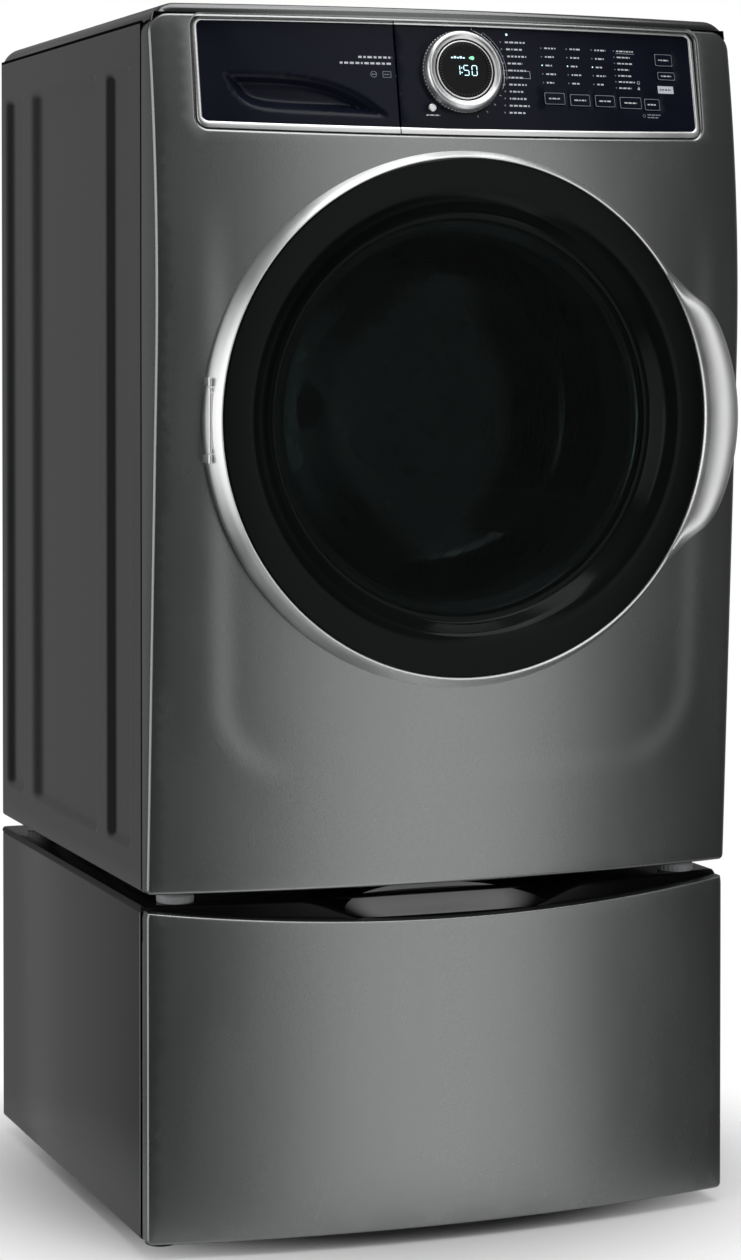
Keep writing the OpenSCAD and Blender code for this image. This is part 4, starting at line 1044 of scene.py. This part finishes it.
words(b, 227, 1233.6, 14, 1.2, DIM_PRINT)
ring_mark(b, 222.6, 1235.2, 1.6, 0.4, 0, 360, DIM_PRINT, n=20)
ring_mark(b, 0, KNOB_Z, 50.5, 0.5, -20, 70, PRINT)
ring_mark(b, 0, KNOB_Z, 53.5, 0.5, -8, 58, DIM_PRINT)
for k in range(11):                          # ticks round the knob
    a = radians(-72 + 14.4 * k)
    mark(b, 50.5 * cos(a), KNOB_Z + 50.5 * sin(a), 2.2, 0.6, PRINT, turn=degrees(a))
mark(b, 57, 1320.5, 2.2, 2.2, GLOW)
words(b, -44.5, 1229.2, 16, 1.3)
b.make("console_face", "cabinet", "navy_panel", "control_fascia", angle=40, merge=0.002)

# keys
for name, (x, z, w, h) in KEYS.items():
    m = console_matrix(x, z)
    if w < 12:
        b.lathe(fillet([(0.01, 1.7), (w / 2 - 0.9, 1.6), (w / 2, 1.2), (w / 2, -4), (0.01, -4)],
                       [0, 0.4, 0.5, 0.2, 0]), SILVER, matrix=m, seg=40)
    else:
        base = round_rect(-w / 2, w / 2, -h / 2, h / 2, 1.6, 1.6, 3)
        rows = []
        for inw, lift in ((0.0, -4), (0.0, 0.7), (0.15, 1.15), (0.5, 1.45), (1.1, 1.6),
                          (2.2, 1.55), (min(w, h) / 2 - 1.2, 1.35)):
            corner = max(0.4, 1.6 - inw * 0.5)
            ring = round_rect(-w / 2 + inw, w / 2 - inw, -h / 2 + inw, h / 2 - inw, corner, corner, 3)
            if len(ring) != len(base):
                ring = [(px * (1 - 2 * inw / w), pz * (1 - 2 * inw / h)) for px, pz in base]
            rows.append([m @ Vector((px, pz, lift)) for px, pz in ring])
        b.grid(rows, NAVY, close=True)
        b.disc(rows[-1], NAVY)
        b.disc(rows[0], NAVY, flip=True)
        b.grid([[m @ Vector((px * (1 - 2 * inw / w), pz * (1 - 2 * inw / h), lift)) for px, pz in base]
                for inw, lift in ((0.5, 1.46), (0.5, 1.62), (1.0, 1.68), (1.0, 1.5))],
               DIM_PRINT, close=True)
        words(b, x - w * 0.28, z, w * 0.56, 1.5, lift=1.42)
    b.lathe([(2.2, -3.9), (2.2, -26), (0.01, -26)], NAVY, matrix=m, seg=20)
    b.make("cap_" + name, "key_" + name, "navy_panel", "key_" + name, angle=45, merge=0.001)

# programme knob with a silver ring, and the display disc in its middle
m = console_matrix(0, KNOB_Z)
ring_prof = fillet([(34.6, -6.8), (45.5, -6.8), (45.5, 5), (43.6, 12), (41.6, 14), (39.4, 14.1),
                    (37.6, 12.6), (34.8, 12.2), (34.6, 11.6), (34.6, -6.8)],
                   [0, 0.5, 2.5, 2, 1.2, 0.8, 0.8, 0.3, 0.2, 0])
b.lathe(ring_prof, SILVER, matrix=m, seg=120)
def knurl(b, count, lo, hi, mat, bevel):
    """Ridges round the knob's axis."""
    for k in range(count):
        b.box(lo, hi, mat, bevel, m @ Matrix.Rotation(2 * pi * k / count, 4, "Z"))


knurl(b, 72, (45.1, -0.8, -5.5), (45.9, 0.8, 4.2), SILVER, 0.3)
b.make("knob_ring", "knob", "silver_trim", "cycle_knob", angle=40)

b.lathe(fillet([(0.01, 13.0), (26, 13.0), (30.5, 12.4), (31, 11.8), (33.6, 11.4), (34, 10.6),
                (34, -9), (44, -9), (44, -12), (20, -12), (20, -52), (0.01, -52)],
               [0, 3, 0.5, 0.3, 0.5, 0.3, 0.2, 0.2, 0.2, 0.2, 0.2, 0]), GLOSS, matrix=m, seg=96)
b.lathe(fillet([(31.2, 11.7), (31.4, 12.3), (32.6, 12.2), (33.0, 11.5)], 0.3), SILVER, matrix=m, seg=96)
knurl(b, 60, (27.2, -0.5, 12.3), (30.4, 0.5, 12.95), BLACKP, 0.2)


def segment_digit(x, z, h, lit):
    """Digit made of the lit ones of its seven bars."""
    w = h * 0.52
    bars = {"a": (0, h / 2, w, 0), "g": (0, 0, w, 0), "d": (0, -h / 2, w, 0),
            "b": (w / 2, h / 4, h / 2, 90), "c": (w / 2, -h / 4, h / 2, 90),
            "f": (-w / 2, h / 4, h / 2, 90), "e": (-w / 2, -h / 4, h / 2, 90)}
    for name in lit:
        bx, bz, length, turn = bars[name]
        place = Matrix.Translation((x + bx, z + bz, 0)) @ Matrix.Rotation(radians(turn), 4, "Z")
        b.box((-length / 2 + 0.5, -0.45, 12.9), (length / 2 - 0.5, 0.45, 13.12), GLOW, 0.1, m @ place)


for x, lit in ((-9.5, "bc"), (1.0, "afgcd"), (10.5, "abcdef")):
    segment_digit(x, -1, 11, lit)
for z in (-3.6, 1.6):
    b.box((-4.9, z - 0.6, 12.9), (-3.7, z + 0.6, 13.12), GLOW, 0.2, m)
leaf = [(8 + 3.2 * cos(t), 13 + 2.0 * sin(t) * (1 + 0.4 * cos(t)))
        for t in np.linspace(0, 2 * pi, 25)[:-1]]
rows = [[m @ Vector((x, z, high)) for x, z in leaf] for high in (12.9, 13.1)]
b.grid(rows, GREEN, close=True)
b.disc(rows[1], GREEN)
for k in range(5):
    b.box((-16 + k * 3.4, 12.2, 12.9), (-13.6 + k * 3.4, 13.6 + (k % 2), 13.1), GLOW, 0.1, m)
b.make("display_puck", "cabinet", "black_gloss", "display_disc", angle=40, merge=0.001)

# detergent drawer front with the leaf-shaped finger recess
face_loop = [(x, z + 1.5) for x, z in inset(console_loop(0), 6.2)]
face_loop = clip_loop(face_loop, SPLIT_X - 0.8, -1)


def leaf_loop(n=70):
    """Pointed leaf: flat along the top and falling to the right, round at the lower left."""
    upper, lower = [], []
    for k in range(n + 1):
        t = 0.5 - 0.5 * cos(pi * k / n)
        x = -267 + 183 * t
        low = 1224.5 + 48 * (1 - t) * exp(-t / 0.075) + 6 * (1 - t)
        high = 1272.5 - 47 * t ** 3.8
        lower.append((x, min(low, high)))
        upper.append((x, high))
    first = next(k for k in range(n + 1) if upper[k][1] - lower[k][1] > 0.4)
    return lower[first - 1:n] + [upper[n]] + upper[first:n][::-1]


LEAF = leaf_loop()
leaf_np = np.array(densify(LEAF, 0.8))


def soap_face(x, z):
    base = console_face(x, z) + 1.0
    if not inside([(x, z)], LEAF)[0]:
        return base
    near = sqrt(((leaf_np - (x, z)) ** 2).sum(1).min())
    return base + 12.0 * smooth(near / 15.0) + 0.12 * min(near, 4.0)


def soap_back(x, z):
    return console_face(x, z) + 16


sheet(b, face_loop, [], soap_face, NAVY, spacing=3.0, edge=0.4, walls=[soap_back], extra=[LEAF],
      steps=2, back=soap_back)
trim_band(b, SPLIT_X - 0.6, -1)
words(b, -117, 1291.0, 38, 2.3)
words(b, -138, 1284.3, 58, 2.3)
ring_mark(b, -101, 1272.5, 3.3, 0.5, 0, 360, DIM_PRINT, n=28)
words(b, -103, 1272.5, 4, 1.2, DIM_PRINT)
box_mark(b, -86, 1272.5, 9, 6.4, 0.5, DIM_PRINT)
words(b, -89, 1272.5, 6, 1.0, DIM_PRINT)
b.make("soap_drawer_face", "detergent_drawer", "navy_panel", "detergent_front", angle=38)

# ---- drum, tub and what shows inside ----
DRUM_R, HOLE_R, HOLES_ROUND, HOLE_ROWS, PITCH = 264.7, 1.7, 132, 32, 12
LIFTERS = (0, 120, 240)
for profile in ([(233, 52), (235, 50), (266.6, 70), (266.6, 484), (30, 484)],
                [(233, 52), (264, 71.5), (265, 74), (265, 482), (30, 482.4)]):
    b.lathe(fillet(profile, [0, 1, 3, 6, 0]), STEEL, seg=180)
for row in range(HOLE_ROWS):
    d = 96 + PITCH * row
    for k in range(HOLES_ROUND):
        a = 2 * pi * (k + 0.5 * (row % 2)) / HOLES_ROUND
        if min(abs((degrees(a) - c + 180) % 360 - 180) for c in LIFTERS) < 9:
            continue
        # each hole is a dark disc on the solid wall: painted shade
        rim = [(a + u / 265, d + v) for u, v in circle_loop(0, 0, HOLE_R, 8)]
        b.disc([(DRUM_R * sin(turn), SEAM + v, DOOR_Z + DRUM_R * cos(turn)) for turn, v in rim], HOLE_SHADE)
b.make("drum_wall", "drum", "stainless", "drum_shell", angle=40)

for c in LIFTERS:
    rows = []
    for t in np.linspace(0, 1, 19):
        swell = sin(pi * t ** 0.9) ** 0.35 if 0 < t < 1 else 0.0
        row = []
        for u in np.linspace(-1, 1, 15):
            r = 264.8 - 55 * swell * (1 - abs(u) ** 2.4) ** 0.9
            a = radians(c) + u * 33 / 265
            row.append((r * sin(a), SEAM + 114 + 310 * t, DOOR_Z + r * cos(a)))
        rows.append(row)
    b.grid(rows, GREYP)
b.make("drum_ribs", "drum", "grey_plastic", "drum_lifters", angle=60)

# bellows of the door seal, fixed to the cabinet in front and to the tub behind
seal = fillet([(223.6, -28), (224.4, -20), (223.6, -12), (212, -4), (223, 8), (212, 18),
               (223, 27), (219.5, 27.6), (208, 18), (219, 8), (208, -4), (218, -12), (201, -16.6),
               (200, -18.6), (201.6, -20), (219, -17.6), (220, -28), (223.6, -28)],
              [0, 1, 2, 3, 3, 3, 1, 1, 3, 3, 3, 2, 1, 1, 1, 2, 1, 0])
b.lathe(seal, M["rubber_grey"], seg=150)
obj = b.make("door_seal", None, "rubber_grey", "door_gasket", angle=60)
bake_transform(obj)

# coil springs that carry the tub, and its two bellows hoses
TURNS, TURN_STEPS, COIL_R = 15, 14, 11.2
for x in (-240, 240):
    for d in (275, 430):
        n = TURNS * TURN_STEPS
        coil = [(x + COIL_R * cos(2 * pi * TURNS * k / n), SEAM + d
                 + COIL_R * sin(2 * pi * TURNS * k / n), 1117 + 150 * k / n) for k in range(n + 1)]
        low = [(x, SEAM + d, 1104.5), (x, SEAM + d, 1109), (x + 4, SEAM + d, 1113)]
        high = [(x + 6, SEAM + d, 1270), (x, SEAM + d, 1276), (x, SEAM + d, 1300), (x, SEAM + d, 1320)]
        b.tube(low + coil + high, 1.9, STEEL, seg=8)
        b.lathe(fillet([(0.01, 1321), (8, 1321), (8, 1318), (0.01, 1318)], 0.6), STEEL, seg=24,
                matrix=at(x, d))
obj = b.make("tub_springs", None, "stainless", "suspension_springs", angle=70)
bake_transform(obj)

for name, x, d, z0, turns, pitch, r_in, r_out, ends, replaced in (
        ("fill_bellows", -190, 170, 1146, 6, 12, 15.5, 20.6, ("tub", "cabinet"), ["tub_hoses"]),
        ("sump_bellows", 60, 82, 510, 5, 14, 21.5, 27.6, ("cabinet", "tub"), [])):
    profile = []
    for k in range(turns):
        profile += [(r_in, z0 + pitch * k), (r_out, z0 + pitch * (k + 0.5))]
    profile.append((r_in, z0 + pitch * turns))
    inner = [(r - 2.4, z) for r, z in profile[::-1]]
    b.lathe(fillet(profile + inner + profile[:1], 2.2, 4), M["rubber_black"], seg=48, matrix=at(x, d))
    obj = b.make(name, None, "rubber_black", *replaced, angle=60)
    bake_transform(obj)

# slim knuckles of the hinge beside the ring
HINGE_X, HINGE_D, HINGE_R = -291.0, -80.0, 2.3


def knuckle(b, z0, z1):
    b.lathe(fillet([(0.01, z0), (HINGE_R, z0), (HINGE_R, z1), (0.01, z1)], 0.4), SILVER, seg=28,
            matrix=at(HINGE_X, HINGE_D, DOOR_Z))


knuckle(b, -35, 35)
b.box((HINGE_X, SEAM + HINGE_D - 2.6, DOOR_Z - 30), (-252, SEAM + HINGE_D - 0.4, DOOR_Z + 30),
      SILVER, 0.5)
b.make("hinge_leaf", "door", "cast_alloy", "door_hinge_arm")
for z0, z1 in ((-45.5, -36), (36, 45.5)):
    knuckle(b, z0, z1)
    b.box((HINGE_X - 1.6, SEAM + HINGE_D, DOOR_Z + z0 + 0.3),
          (HINGE_X + 1.6, SEAM - 50, DOOR_Z + z1 - 0.3), SILVER, 0.4)
b.make("hinge_block", "cabinet", "cast_alloy", "hinge_bracket")

# ---- finish of the CAD nodes that stay ----
slot_of = {p["node"]: p["material_slot"] for p in frame["record"]["subparts"]}
for name, obj in nodes.items():
    mesh = obj.data
    mesh.materials.clear()
    mesh.materials.append(M[slot_of[name]])
    mesh.shade_smooth()
    mesh.set_sharp_from_angle(angle=radians(32))
